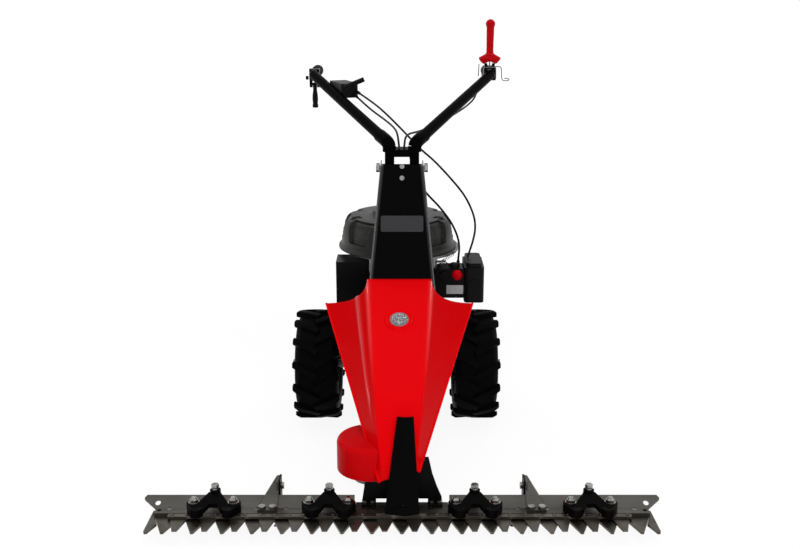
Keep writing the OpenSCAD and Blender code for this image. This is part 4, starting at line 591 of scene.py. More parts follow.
class Skin:
    """Collects grids of points, in millimetres, into one mesh."""

    def __init__(self) -> None:
        """Starts with no points."""
        self.points: list[Array] = []
        self.faces: list[Array] = []
        self.values: dict[str, list[Array]] = {GLEAM: [], PAINTED_SHADE: []}
        self.count = 0

    def grid(
        self, pts: Array, ring_cols: bool = False, gleam: Any = 0.0, painted_shade: Any = 0.0
    ) -> "Skin":
        """Adds a grid of quads.

        Args:
            pts: rows by columns by three.
            ring_cols: joins the last column to the first.
            gleam: how glossy a bend is, one value or one for each point.
            painted_shade: share of the finish's darker colour, painted shade, one value or one for
                each point.

        Returns:
            This skin.
        """
        rows, cols = pts.shape[:2]
        i = np.arange(rows - 1)[:, None]
        j = np.arange(cols if ring_cols else cols - 1)[None, :]
        top, low, right = i * cols, (i + 1) * cols, (j + 1) % cols
        quads = np.stack([top + j, top + right, low + right, low + j], -1)
        self.points.append(pts.reshape(-1, 3))
        self.faces.append(quads.reshape(-1, 4) + self.count)
        for label, value in ((GLEAM, gleam), (PAINTED_SHADE, painted_shade)):
            spread = np.broadcast_to(np.asarray(value, float), (rows, cols))
            self.values[label].append(spread.ravel())
        self.count += rows * cols
        return self

    def lathe(
        self,
        profile: Sequence[Sequence[float]],
        base: Sequence[float],
        axis: Sequence[float],
        sides: int,
    ) -> "Skin":
        """Turns a profile round an axis: point = base + r (cos a side + sin a up) + h along.

        Args:
            profile: radius and height pairs from one end to the other.
            base: point of height zero.
            axis: direction of height.
            sides: steps round.

        Returns:
            This skin.
        """
        r, h = np.asarray(profile, float).T[:, :, None, None]
        side, up, along = frame_of(axis)
        a = turn_steps(sides)[:, None]
        pts = np.asarray(base, float) + r * (np.cos(a) * side + np.sin(a) * up) + h * along
        return self.grid(pts, ring_cols=True)

    def tube(self, path: Array, radius: Any, sides: int = 14) -> "Skin":
        """Carries a circle along a path, its ends closed: point = path + r (cos a side + sin a up).

        Args:
            path: points of the centre line.
            radius: one radius, or one for each point.
            sides: steps round.

        Returns:
            This skin.
        """
        path = np.asarray(path, float)
        r = np.broadcast_to(np.asarray(radius, float), (len(path),))
        along = unit(np.gradient(path, axis=0))
        level = np.abs(along[:, 2:3]) < NEARLY_UPRIGHT
        side = unit(np.cross(along, np.where(level, [[0.0, 0.0, 1.0]], [[1.0, 0.0, 0.0]])))
        up = np.cross(side, along)
        a = turn_steps(sides)[None, :, None]
        ring = np.cos(a) * side[:, None] + np.sin(a) * up[:, None]
        rings = path[:, None] + r[:, None, None] * ring
        first, last = (np.repeat(end[:, None], sides, 1) for end in (path[:1], path[-1:]))
        return self.grid(np.concatenate([first, rings, last]), ring_cols=True)

    def box(self, low: Sequence[float], high: Sequence[float]) -> "Skin":
        """Adds a block as one closed band with two lids.

        Args:
            low: lowest corner.
            high: highest corner.

        Returns:
            This skin.
        """
        (x0, y0, z0), (x1, y1, z1) = low, high
        ring = np.array([[x0, y0], [x1, y0], [x1, y1], [x0, y1]], float)
        centre = ring.mean(0, keepdims=True).repeat(4, 0)
        flat = np.stack([centre, ring, ring, centre])
        level = np.array([z0, z0, z1, z1], float)[:, None, None].repeat(4, 1)
        return self.grid(np.concatenate([flat, level], -1), ring_cols=True)

    def mesh(self, name: str) -> bpy.types.Mesh:
        """Puts the grids into a mesh: doubles merged, slivers gone, normals outwards.

        Args:
            name: the mesh's name.

        Returns:
            The mesh, in metres, with its point attributes.
        """
        mesh = bpy.data.meshes.new(name)
        points, faces = np.concatenate(self.points) * MM, np.concatenate(self.faces)
        mesh.from_pydata(points.tolist(), [], faces.tolist())
        for label, values in self.values.items():
            layer = mesh.attributes.new(label, "FLOAT", "POINT")
            layer.data.foreach_set("value", np.concatenate(values))
        work = bmesh.new()
        work.from_mesh(mesh)
        bmesh.ops.remove_doubles(work, verts=work.verts, dist=MERGE_GAP)
        bmesh.ops.dissolve_degenerate(work, edges=work.edges, dist=SLIVER)
        bmesh.ops.recalc_face_normals(work, faces=work.faces)
        work.to_mesh(mesh)
        work.free()
        return mesh

    def piece(
        self,
        name: str,
        finish: Coating,
        body: str,
        slot: str,
        replaces: Sequence[str] = (),
        blend: Optional[tuple[str, Point, Point]] = None,
        bevel: float = 0.0,
        wall: float = 0.0,
    ) -> bpy.types.Object:
        """Args:
            name: the piece's name.
            finish: what it is covered in.
            body: the CAD body that it rides on.
            slot: the record's material slot; not used.
            replaces: CAD nodes that it stands for.
            blend: when given, the piece stays fixed in the frame on no body; the second body and
                points are not used.
            bevel: width of the edge rounding in millimetres.
            wall: thickness that a Solidify gives an open sheet, in millimetres.

        Returns:
            The object.
        """
        mesh = self.mesh(name)
        mesh.polygons.foreach_set("use_smooth", np.ones(len(mesh.polygons), bool))
        mesh.set_sharp_from_angle(angle=SHARP_ANGLE)
        made = bpy.data.objects.new(name, mesh)
        bpy.context.scene.collection.objects.link(made)
        mesh.materials.append(finish.material())
        if wall:
            skin = made.modifiers.new("wall", "SOLIDIFY")
            skin.thickness, skin.offset = wall * MM, -1.0
        if bevel:
            add_bevel(made, bevel)
        if blend:
            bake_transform(made)
        else:
            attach(made, body)
        if replaces:
            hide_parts(*replaces)
        LOG.info("piece %s on %s: %d faces", name, body, len(mesh.polygons))
        return made


def add_bevel(made: bpy.types.Object, width: float) -> None:
    """Rounds an object's sharp edges and evens out its normals.

    Args:
        made: the object.
        width: edge width in millimetres.
    """
    edge = made.modifiers.new("edge", "BEVEL")
    edge.width, edge.segments, edge.limit_method = width * MM, BEVEL_STEPS, "ANGLE"
    edge.angle_limit, edge.harden_normals, edge.miter_outer = SHARP_ANGLE, False, "MITER_ARC"
    even = made.modifiers.new("even", "WEIGHTED_NORMAL")
    even.keep_sharp = True


def dress_nodes(finish: Coating, bevel: float, *nodes: str) -> None:
    """Gives CAD nodes their finish and rounded edges.

    Args:
        finish: what they are covered in.
        bevel: edge width in millimetres.
        nodes: the nodes' names.
    """
    for node in nodes:
        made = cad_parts[node]
        made.data.materials.clear()
        made.data.materials.append(finish.material())
        weld = made.modifiers.new("weld", "WELD")
        weld.merge_threshold = WELD_GAP
        add_bevel(made, bevel)
        LOG.info("node %s in %s", node, finish.name)


# Sub-assemblies


class SubAssembly:
    """A group of the machine's pieces: CAD nodes to dress and new pieces to build."""

    def dress(self) -> None:
        """Finishes the CAD nodes, which each sub-assembly names itself."""
        raise NotImplementedError

    def build(self) -> None:
        """Adds the new pieces, where there are any."""


@dataclass
class CutterBar(SubAssembly):
    """Beam, fingers, knife, hold-downs and skids."""

    pitch: float = 70.0
    sections: int = 16
    knife_shift: float = -5.44
    rivet_y: float = -689.0
    rivet_half: float = 17.0
    rivet_sides: int = 10
    rivet_dome: Profile = ((4.5, -0.2), (4.5, 0.6), (3.4, 1.9), (1.8, 2.6), (0, 2.8))
    back_top: float = 46.5
    mount_front: float = -634.0
    mount_rear: float = -628.2
    gusset_outline: Profile = ((34, 128.3), (54.7, 128.3), (54.7, 160), (40, 134), (34, 134))

    def dress(self) -> None:
        """Finishes the bar's CAD nodes."""
        dress_nodes(BAR_STEEL, 0.6, "bar_beam")
        dress_nodes(BLADE_STEEL, 0.5, "fingers")
        dress_nodes(BLADE_STEEL, 0.4, "knife_sections", "knife_back", "knife_head")
        dress_nodes(ZINC_PAINTED_REFLECTION, 0.7, "bar_bolts", "hold_down_bolts", "skid_bolts")
        dress_nodes(BLACK_CAST, 1.6, "hold_downs")
        dress_nodes(BAR_STEEL, 0.8, "skid_brackets")
        dress_nodes(BLACK_SATIN, 0.8, "skids", "bar_mount")
        dress_nodes(BLACK_PAINT, 1.0, "divider")

    def build(self) -> None:
        """Adds the rivets and the gusset."""
        self.rivets()
        self.gusset()

    def rivets(self) -> None:
        """Turns the domed rivet heads on the knife back, two to a section."""
        middle = (np.arange(self.sections) - self.sections / 2 + 0.5) * self.pitch
        pair = np.array([-1, 1]) * self.rivet_half
        heads = Skin()
        for x in (middle[:, None] + self.knife_shift + pair).ravel():
            heads.lathe(self.rivet_dome, (x, self.rivet_y, self.back_top), UP, self.rivet_sides)
        heads.piece("knife_rivets", BLADE_STEEL, "knife", "blade_steel")

    def gusset(self) -> None:
        """Closes the corner of the mount's right arm: one outline carried through the plate."""
        outline = np.array(self.gusset_outline)
        middle = np.broadcast_to(outline.mean(0), outline.shape)
        front, rear = self.mount_front, self.mount_rear
        rings = front_rings(((middle, front), (outline, front), (outline, rear), (middle, rear)))
        plate = Skin().grid(rings, ring_cols=True)
        plate.piece("mount_gusset", BLACK_SATIN, "chassis", "black_satin")


@dataclass
class Drive(SubAssembly):
    """Crank, belts, shafts, gearbox, frame and wheels."""

    steel: tuple[str, ...] = (
        "pitman", "crank", "crank_pulley", "bearings", "jackshaft", "crankshaft", "gearbox_input",
        "axle",
    )
    belts: tuple[str, ...] = ("lower_knife_belt", "upper_knife_belt", "drive_belt")
    plates: tuple[str, ...] = ("frame_left", "frame_right", "cross_plate", "deck")

    def dress(self) -> None:
        """Finishes the drive's CAD nodes."""
        dress_nodes(TURNED, 0.5, *self.steel)
        dress_nodes(BELT, 0.6, *self.belts)
        dress_nodes(BLACK_SATIN, 0.8, *self.plates)
        dress_nodes(IRON, 2.0, "gearbox")
        dress_nodes(BLACK_PAINT, 1.2, "rims")
        dress_nodes(TYRE, 2.6, "tyres")
        # The crank cover's darker red is painted shade
        dress_nodes(RED_COVER_PAINTED_SHADE, 1.2, "crank_cover")


@dataclass
class Hood(SubAssembly):
    """Red hood: a bent panel between two creases, two wings, a bead on the left one, the lamp."""

    nose: Span = (-655.0, 131.0)
    ctrl: Span = (-600.0, 320.0)
    top: Span = (-214.0, 491.0)
    nose_half: float = 40.0
    top_half: float = 88.0
    foot: Point = (48.0, -652.0, 125.0)
    corner: Point = (198.0, -234.0, 428.0)
    dip: float = 0.146
    dip_bend: float = 0.45
    off: float = -7.0
    skew: float = 14.0
    sheet: float = 2.0
    hem: float = 3.0
    hem_steps: int = 24
    bead_u: float = 0.27
    bead_high: float = 3.0
    bead_half: float = 0.045
    bead_rise: Span = (0.3, 0.6)
    rows: int = 120
    wing_cols: int = 64
    panel_cols: int = 24
    fold_steps: tuple[float, ...] = (0.036, 0.024, 0.012)
    fold_gleam: float = 0.045
    gleam_span: Span = (0.45, 0.95)
    # Painted shade on the wings: share of the darker red, from the nose to the top
    wing_painted_shade: Span = (0.0, 1.1)
    lamp_share: float = 0.803
    lamp_hole: float = 24.6
    lamp_reach: float = 40.0
    lamp_sides: int = 72
    slope_step: float = 1e-4
    bezel: Profile = (
        (24.4, -9), (24.5, -2.6), (26, -1), (30, 1.4), (34, 3.4), (36.4, 4.1), (38.2, 3.4),
        (39.3, 1.4), (39.7, -1.5), (38.4, -3),
    )
    bulb: Profile = ((0, -21), (5, -21), (5, -18), (3.6, -17), (3.6, -13), (2.6, -11), (0, -10))
    bulb_sides: int = 24

    def curve(self, t: Array) -> tuple[Array, Array]:
        """Quadratic Bezier of the panel's side view.

        Args:
            t: zero at the nose and one at the top.

        Returns:
            The y and z there.
        """
        w = (1 - t) ** 2, 2 * t * (1 - t), t * t
        points = (self.nose, self.ctrl, self.top)
        return tuple(sum(k * p[i] for k, p in zip(w, points)) for i in (0, 1))

    def wing(self, u: Array, t: Array) -> Array:
        """Ruled surface between the crease and the straight outer edge, its top edge dipped.

        Args:
            u: zero at the crease and one at the outer edge.
            t: zero at the nose and one at the top.

        Returns:
            Points of the right wing before it is set on its side.
        """
        low = t * (1 - self.dip * u**self.dip_bend * (1 - u))
        y, z = self.curve(low)
        crease = np.stack([mix(self.nose_half, self.top_half, low), y, z], -1)
        edge = mix(np.array(self.foot), np.array(self.corner), low[..., None])
        return mix(crease, edge, u[..., None])

    def set_side(self, side: float, pts: Array, t: Any) -> Array:
        """Puts a wing on its side: mirrored, moved over, and skewed less and less towards the top.

        Args:
            side: one for the right and minus one for the left.
            pts: the wing's points.
            t: zero at the nose and one at the top.

        Returns:
            The points in the frame.
        """
        lift = np.zeros_like(pts)
        lift[..., 0] = self.off
        lift[..., 2] = side * self.skew * (1 - t)
        return pts * [side, 1, 1] + lift

    def surface(self) -> tuple[Array, Array, Array]:
        """The whole sheet: wing, panel and mirrored wing, the creases rounded by averaging.

        Returns:
            The points, the gleam, a bell curve round each crease and bead, and the wings' painted
            shade.
        """
        t = np.linspace(0, 1, self.rows)
        fold = np.array(self.fold_steps)
        flat = 2 * fold[0]
        u, tt = np.meshgrid(np.concatenate([np.linspace(1, flat, self.wing_cols), fold, [0.0]]), t)
        wing = self.wing(u, tt)
        bead = bell(u - self.bead_u, self.bead_half) * ease(tt, *self.bead_rise)
        normal = unit(np.cross(np.gradient(wing, axis=0), np.gradient(wing, axis=1)))
        normal *= np.sign(normal[..., 2:3] - normal[..., 1:2])
        beaded = wing + normal * (bead * self.bead_high)[..., None]
        inner = np.linspace(1 - flat, flat - 1, self.panel_cols)
        w, tp = np.meshgrid(np.concatenate([1 - fold[::-1], inner, fold - 1]), t)
        y, z = self.curve(tp)
        x = w * mix(self.nose_half, self.top_half, tp) + self.off
        panel = np.stack([x, y, z + w * self.skew * (1 - tp)], -1)
        right, left = self.set_side(1, wing, tt), self.set_side(-1, beaded, tt)
        whole = np.concatenate([right, panel, left[:, ::-1]], 1)
        whole[:, 1:-1] = whole[:, :-2] / 4 + whole[:, 1:-1] / 2 + whole[:, 2:] / 4
        fade = ease(t[:, None], *self.gleam_span)
        on_wing = bell(u, self.fold_gleam) * fade
        on_panel = bell(1 - np.abs(w), self.fold_gleam) * fade
        gleam = np.concatenate([on_wing, on_panel, np.maximum(on_wing, bead)[:, ::-1]], 1)
        # Painted shade: the wings go darker towards the top, the panel keeps its red
        painted_shade = ease(u, 0.0, flat) * mix(*self.wing_painted_shade, tt)
        return whole, gleam, np.concatenate([painted_shade, 0 * w, painted_shade[:, ::-1]], 1)

    def lamp_axes(self) -> tuple[Array, Array]:
        """The lamp's seat on the panel and its axis, square to the panel's slope there.

        Returns:
            The seat and the outward unit normal.
        """
        t = np.array(self.lamp_share)
        y, z = self.curve(t)
        (ya, za), (yb, zb) = self.curve(t - self.slope_step), self.curve(t + self.slope_step)
        slope = unit(np.array([0.0, yb - ya, zb - za]))
        return np.array([self.off, float(y), float(z)]), np.array([0.0, -slope[2], slope[1]])

    def build(self) -> None:
        """Makes the sheet, cuts the lamp hole, and adds the hems, the bezel and the bulb."""
        seat, out = self.lamp_axes()
        points, gleam, painted_shade = self.surface()
        sheet = Skin().grid(points, gleam=gleam, painted_shade=painted_shade).piece(
            "hood_shell", RED_PAINT, "chassis", "red_paint", ("hood",), wall=self.sheet
        )
        self.cut_hole(sheet, seat, out)
        hems = Skin()
        share = np.linspace(0, 1, self.hem_steps)[:, None]
        for side in (-1, 1):
            ends = self.set_side(side, np.array([self.foot, self.corner]), np.array([0.0, 1.0]))
            hems.tube(mix(ends[0], ends[1], share), self.hem)
        hems.piece("hood_hems", RED_PAINT, "chassis", "red_paint")
        bezel = Skin().lathe(self.bezel, seat, out, self.lamp_sides)
        bezel.piece("lamp_bezel", RED_PAINT, "chassis", "red_paint")
        bulb = Skin().lathe(self.bulb, seat, out, self.bulb_sides)
        bulb.piece("lamp_bulb", BARE_SILVER, "chassis", "lamp_chrome")

    def cut_hole(self, sheet: bpy.types.Object, seat: Array, out: Array) -> None:
        """Cuts the round lamp hole with a turned cylinder and keeps the cut mesh.

        Args:
            sheet: the hood.
            seat: centre of the hole.
            out: its axis.
        """
        r, reach = self.lamp_hole, self.lamp_reach
        profile = (0, -reach), (r, -reach), (r, reach), (0, reach)
        tool = Skin().lathe(profile, seat, out, self.lamp_sides)
        cutter = bpy.data.objects.new("lamp_cutter", tool.mesh("lamp_cutter"))
        bpy.context.scene.collection.objects.link(cutter)
        hole = sheet.modifiers.new("hole", "BOOLEAN")
        hole.object, hole.operation, hole.solver = cutter, "DIFFERENCE", "EXACT"
        bpy.context.view_layer.update()
        shown = sheet.evaluated_get(bpy.context.evaluated_depsgraph_get())
        cut = bpy.data.meshes.new_from_object(shown)
        sheet.modifiers.clear()
        sheet.data = cut
        bpy.data.objects.remove(cutter)

    def dress(self) -> None:
        """Finishes the lamp's CAD nodes."""
        dress_nodes(CHROME, 0.4, "headlight")
        dress_nodes(LENS, 0.4, "headlight_lens")


@dataclass
class Column(SubAssembly):
    """Black sheet column: a U channel with rounded front edges, its plate and screws."""

    foot_z: float = 312.0
    top_z: float = 786.0
    foot_half: float = 107.0
    top_half: float = 59.0
    face_y: float = -211.8
    face_z: float = 491.0
    lean: float = 104.0 / 295.0
    depth: float = 64.0
    wall: float = 3.0
    round_r: float = 11.0
    rows: int = 40
    cheek_cols: int = 6
    round_cols: int = 9
    face_cols: int = 9
    lip_inset: float = 4.0
    lip_h: float = 8.0
    lip_depths: Span = (1.0, 5.0)
    lip_edge: float = 1.5

    def build(self) -> None:
        """Adds the channel and the lip across its top."""
        self.channel()
        top = self.face_y + (self.top_z - self.face_z) * self.lean
        half, (front, rear) = self.top_half - self.lip_inset, self.lip_depths
        low, high = (-half, top + front, self.top_z - self.lip_h), (half, top + rear, self.top_z)
        lip = Skin().box(low, high)
        lip.piece("column_lip", BLACK_PAINT, "chassis", "black_paint", bevel=self.lip_edge)

    def channel(self) -> None:
        """Carries straight cheeks, quarter-round edges and a flat face up, tapered with z."""
        z = np.linspace(self.foot_z, self.top_z, self.rows)[:, None]
        taper = (self.top_half - self.foot_half) / (self.top_z - self.foot_z)
        half = self.foot_half + (z - self.foot_z) * taper
        face = self.face_y + (z - self.face_z) * self.lean
        a = np.linspace(0, QUARTER_TURN, self.round_cols)[None, 1:]
        cheek = np.linspace(self.depth, self.round_r, self.cheek_cols)[None]
        edge_x = half - self.round_r * (1 - np.cos(a))
        edge_y = face + self.round_r * (1 - np.sin(a))
        side_x = np.concatenate([half + 0 * cheek, edge_x], 1)
        side_y = np.concatenate([face + cheek, edge_y], 1)
        flat = np.linspace(1, -1, self.face_cols)[None, 1:-1]
        x = np.concatenate([side_x, flat * (half - self.round_r), -side_x[:, ::-1]], 1)
        y = np.concatenate([side_y, face + 0 * flat, side_y[:, ::-1]], 1)
        pts = np.stack([x, y, np.broadcast_to(z, x.shape)], -1)
        shine = np.concatenate([0 * cheek, np.sin(2 * a)], 1)
        gleam = np.concatenate([shine, 0 * flat, shine[:, ::-1]], 1)
        Skin().grid(pts, gleam=gleam).piece(
            "column_shell", BLACK_PAINT, "chassis", "black_paint", ("column",), wall=self.wall
        )

    def dress(self) -> None:
        """Finishes the column's CAD nodes."""
        dress_nodes(ZINC_PAINTED_REFLECTION, 0.4, "column_screws")
        dress_nodes(BARE_GREY, 0.3, "bare_plate")


@dataclass
class Handlebar(SubAssembly):
    """Yoke, tubes, grips, levers and cables."""

    grip_x: float = 293.0
    handle_z: float = 968.0
    rear_y: float = 750.0
    lever_y: float = 596.0

    grip_l: float = 130.0
    grip_r: float = 18.2
    grip_steps: int = 120
    grip_sides: int = 40
    grip_rings: int = 14
    ring_high: float = 0.8
    ring_start: Span = (0.08, 0.12)
    ring_stop: Span = (0.9, 0.94)
    flange_high: float = 0.6
    flange_rise: Span = (0.94, 0.96)
    tip_share: float = 0.05
    tip_power: float = 2.2
    grip_mouth: Span = (19.0, 16.2)

    red_pin: float = 992.0
    red_top: float = 1146.0
    red_sides: int = 64
    red_knob: float = 15.6
    knob_start: float = -0.6
    knob_steps: int = 18
    red_bell: Profile = (
        (0, 9), (20, 9), (23.4, 10), (28, 14), (33, 20), (36.4, 25), (36.8, 28), (34, 31), (27, 35),
        (19, 39), (13.4, 43), (12.0, 47), (11.7, 60), (11.9, 84), (12.4, 108), (12.6, 122),
    )
    bell_squeeze: float = 0.48
    squeeze_rise: Span = (16.0, 30.0)
    arch_foot: float = 9.0
    arch_rise: float = 8.5
    arch_half: float = 18.5
    stem_span: Span = (-4.0, 20.0)
    stem_r: float = 2.2
    stem_steps: int = 8
    pin_half: float = 17.0
    pin_steps: int = 6
    red_pin_r: float = 3.8

    clutch_pin: float = 934.0
    clutch_pin_r: float = 4.0
    clutch_sides: int = 32
    clutch_grip: Profile = (
        (0, 6), (6, 5), (6.8, 0), (6.8, -14), (6.6, -20), (7.8, -27), (9.2, -38), (9.6, -50),
        (8.8, -60), (8.4, -65), (9.6, -69), (10, -73), (9.4, -77), (8.4, -78), (0, -78),
    )

    cable_r: float = 3.0
    handle_routes: tuple[Route, ...] = (
        ((-147, 326, 927), (-95, 240, 892), (-45, 130, 872), (-20, 20, 866), (-12, -30, 856),
         (-8, -60, 826.6)),
        ((269, 590, 940), (250, 560, 915), (240, 530, 893), (214, 480, 876), (170, 380, 862),
         (100, 200, 850), (45, 60, 850), (10, -20, 855), (6, -60, 826.6)),
    )
    engine_routes: tuple[Route, ...] = (
        ((-139, 330, 936), (-97, 250, 918), (-60, 170, 901), (0, 110, 850), (54, 90, 795),
         (91, 70, 768), (138, 50, 721), (183, 40, 669), (208, 20, 618), (213, 0, 584),
         (206, -20, 551), (188, -45, 506)),
        ((22, -62, 816.6), (24, -58, 785), (36, -48, 745), (52, -48, 715), (73, -60, 690),
         (107, -62, 656), (144, -66, 607), (164, -70, 554), (160, -68, 504.8)),
    )
    ferrule_lengths: tuple[float, ...] = (22, 30, 22)
    ferrule_start: float = 0.5
    ferrule_radii: tuple[float, ...] = (4.6, 4.8, 4.8, 4.8, 4.2, 3.4)
    ferrule_sides: int = 16

    wire_r: float = 1.6
    wire_y: float = 575.0
    wire_sides: int = 10
    wire_steps: int = 5
    wires: tuple[Profile, ...] = (
        ((267, 953), (266, 975), (266.5, 994), (275, 990), (303, 990), (309, 994), (328, 994),
         (331.5, 986), (332.5, 951), (340, 947), (353, 947), (359, 951), (353, 955), (341, 955)),
        ((312, 994), (313, 975), (313, 953)),
        ((256, 1003), (255.5, 985), (254.5, 962)),
    )
    perch_place: Span = (-314.0, 955.0)
    perch_head: Profile = ((0, 9), (5.4, 9), (7, 7.6), (7, 0), (0, 0))
    perch_flats: int = 6
    perch_edge: float = 0.4
    elbow: Route = ((35, -70, 815), (35, -70, 829), (38, -66, 838), (50, -37, 845), (62, -8, 850))
    elbow_r: float = 18.6
    elbow_sides: int = 32
    elbow_steps: int = 8

    def dress(self) -> None:
        """Finishes the handlebar's CAD nodes."""
        dress_nodes(BLACK_TUBE, 1.0, "yoke", "tube_left", "tube_right")
        dress_nodes(ZINC_PAINTED_REFLECTION, 0.8, "tilt_bolt")
        dress_nodes(PLASTIC, 3.0, "console")
        dress_nodes(PLASTIC, 1.5, "throttle_lever")
        dress_nodes(BLACK_SATIN, 1.2, "lever_brackets")

    def build(self) -> None:
        """Makes the cables, grips, levers and fittings."""
        self.cables()
        self.grips()
        self.red_lever()
        self.clutch_handle()
        self.fittings()

    def cables(self) -> None:
        """Carries a circle along each smoothed route; the engine's cables stay fixed in the frame,
        on no body.
        """
        for end, routes in (("handle", self.handle_routes), ("engine", self.engine_routes)):
            for k, route in enumerate(routes):
                path = soft_path(route)
                bend = ("chassis", tuple(path[0] * MM), tuple(path[-1] * MM))
                made = Skin().tube(path, self.cable_r).piece(
                    f"{end}_cable_{k + 1}", SHEATH, "handlebar", "cable_sheath",
                    (f"{end}_cables",) if k == 0 else (),
                    blend=bend if end == "engine" else None,
                )
                self.declare(made, path)

    def declare(self, made: bpy.types.Object, path: Array) -> None:
        """Does nothing: no control cable is declared.

        Args:
            made: the cable; not used.
            path: its centre line; not used.
        """

    def grips(self) -> None:
        """Turns each grip: r = R + A cos^2(2 pi n h) between its ends, a flange and a round tip."""
        h = np.linspace(0, 1, self.grip_steps)
        rings = np.cos(FULL_TURN * self.grip_rings * h) ** 2
        r = self.grip_r + self.ring_high * rings * band(h, self.ring_start, self.ring_stop)
        r = r + self.flange_high * ease(h, *self.flange_rise)
        tip = np.clip(1 - h / self.tip_share, 0, 1) ** self.tip_power
        r = r * np.sqrt(np.clip(1 - tip, 0, 1))
        profile = np.stack([r, h * self.grip_l], -1)
        mouth = [(rim, self.grip_l) for rim in self.grip_mouth]
        for side, name in ((-1, "left"), (1, "right")):
            end = side * self.grip_x, self.rear_y, self.handle_z
            skin = Skin().lathe(profile, end, FORWARD, self.grip_sides)
            skin.lathe(mouth, end, FORWARD, self.grip_sides)
            replaced = ("grips",) if side < 0 else ()
            skin.piece(f"grip_{name}", GRIP, "handlebar", "grip_rubber", replaced)

    def cross_pin(self, base: Array) -> Array:
        """The centre line of a lever's pin, across the handle."""
        half = np.array([self.pin_half, 0, 0])
        return base + np.linspace(-half, half, self.pin_steps)

    def red_lever(self) -> None:
        """Turns the red handle: a knob on an oval bell, the foot cut by z = a + b sqrt(1 - x^2)."""
        knob = self.red_knob
        a = np.linspace(self.knob_start, QUARTER_TURN, self.knob_steps)
        centre = self.red_top - self.red_pin - knob
        ball = np.stack([knob * np.cos(a), centre + knob * np.sin(a)], -1)
        r, h = np.concatenate([np.array(self.red_bell, float), ball]).T[:, :, None]
        turn = turn_steps(self.red_sides)
        x = r * np.cos(turn)
        y = r * np.sin(turn) * (1 - self.bell_squeeze * ease(r, *self.squeeze_rise))
        arc = np.sqrt(np.clip(1 - (x / self.arch_half) ** 2, 0, 1))
        arch = self.arch_foot + self.arch_rise * arc
        base = np.array([self.grip_x, self.lever_y, self.red_pin])
        skin = Skin().grid(np.stack([x, y, np.maximum(h, arch)], -1) + base, ring_cols=True)
        skin.piece("red_safety_handle", RED_PLASTIC, "safety", "red_plastic", ("safety_lever",))
        low, high = self.stem_span
        stem = np.linspace((0, 0, low), (0, 0, high), self.stem_steps)
        pins = Skin().tube(base + stem, self.stem_r)
        pins.tube(self.cross_pin(base), self.red_pin_r)
        pins.piece("safety_pins", TURNED, "safety", "machined_steel")

    def clutch_handle(self) -> None:
        """Turns the hanging clutch handle: a waisted grip with a flat end."""
        base = np.array([-self.grip_x, self.lever_y, self.clutch_pin])
        skin = Skin().lathe(self.clutch_grip, base, UP, self.clutch_sides)
        skin.tube(self.cross_pin(base), self.clutch_pin_r)
        skin.piece("clutch_handle", PLASTIC, "clutch", "black_plastic", ("clutch_lever",))

    def fittings(self) -> None:
        """Adds the wire guard, the cable ferrules, the perch bolt and the elbows at the yoke."""
        wire = Skin()
        for route in self.wires:
            path = np.insert(np.array(route, float), 1, self.wire_y, axis=1)
            wire.tube(soft_path(path, self.wire_steps), self.wire_r, self.wire_sides)
        wire.piece("lever_wires", TURNED, "handlebar", "machined_steel")
        ferrules = Skin()
        routes = (*self.handle_routes, self.engine_routes[0])
        for route, length in zip(routes, self.ferrule_lengths):
            a, b = np.array(route[:2], float)
            steps = np.linspace(self.ferrule_start, length, len(self.ferrule_radii))[:, None]
            ferrules.tube(a + unit(b - a) * steps, self.ferrule_radii, self.ferrule_sides)
        ferrules.piece("cable_ferrules", PLASTIC, "handlebar", "black_plastic")
        x, z = self.perch_place
        bolt = Skin().lathe(self.perch_head, (x, self.lever_y, z), (-1, 0, 0), self.perch_flats)
        bolt.piece("perch_bolt", BLACK_SATIN, "handlebar", "black_satin", bevel=self.perch_edge)
        elbows = Skin()
        for side in (-1, 1):
            path = soft_path(np.array(self.elbow) * [side, 1, 1], self.elbow_steps)
            elbows.tube(path, self.elbow_r, self.elbow_sides)
        elbows.piece("arm_elbows", BLACK_TUBE, "handlebar", "black_paint")


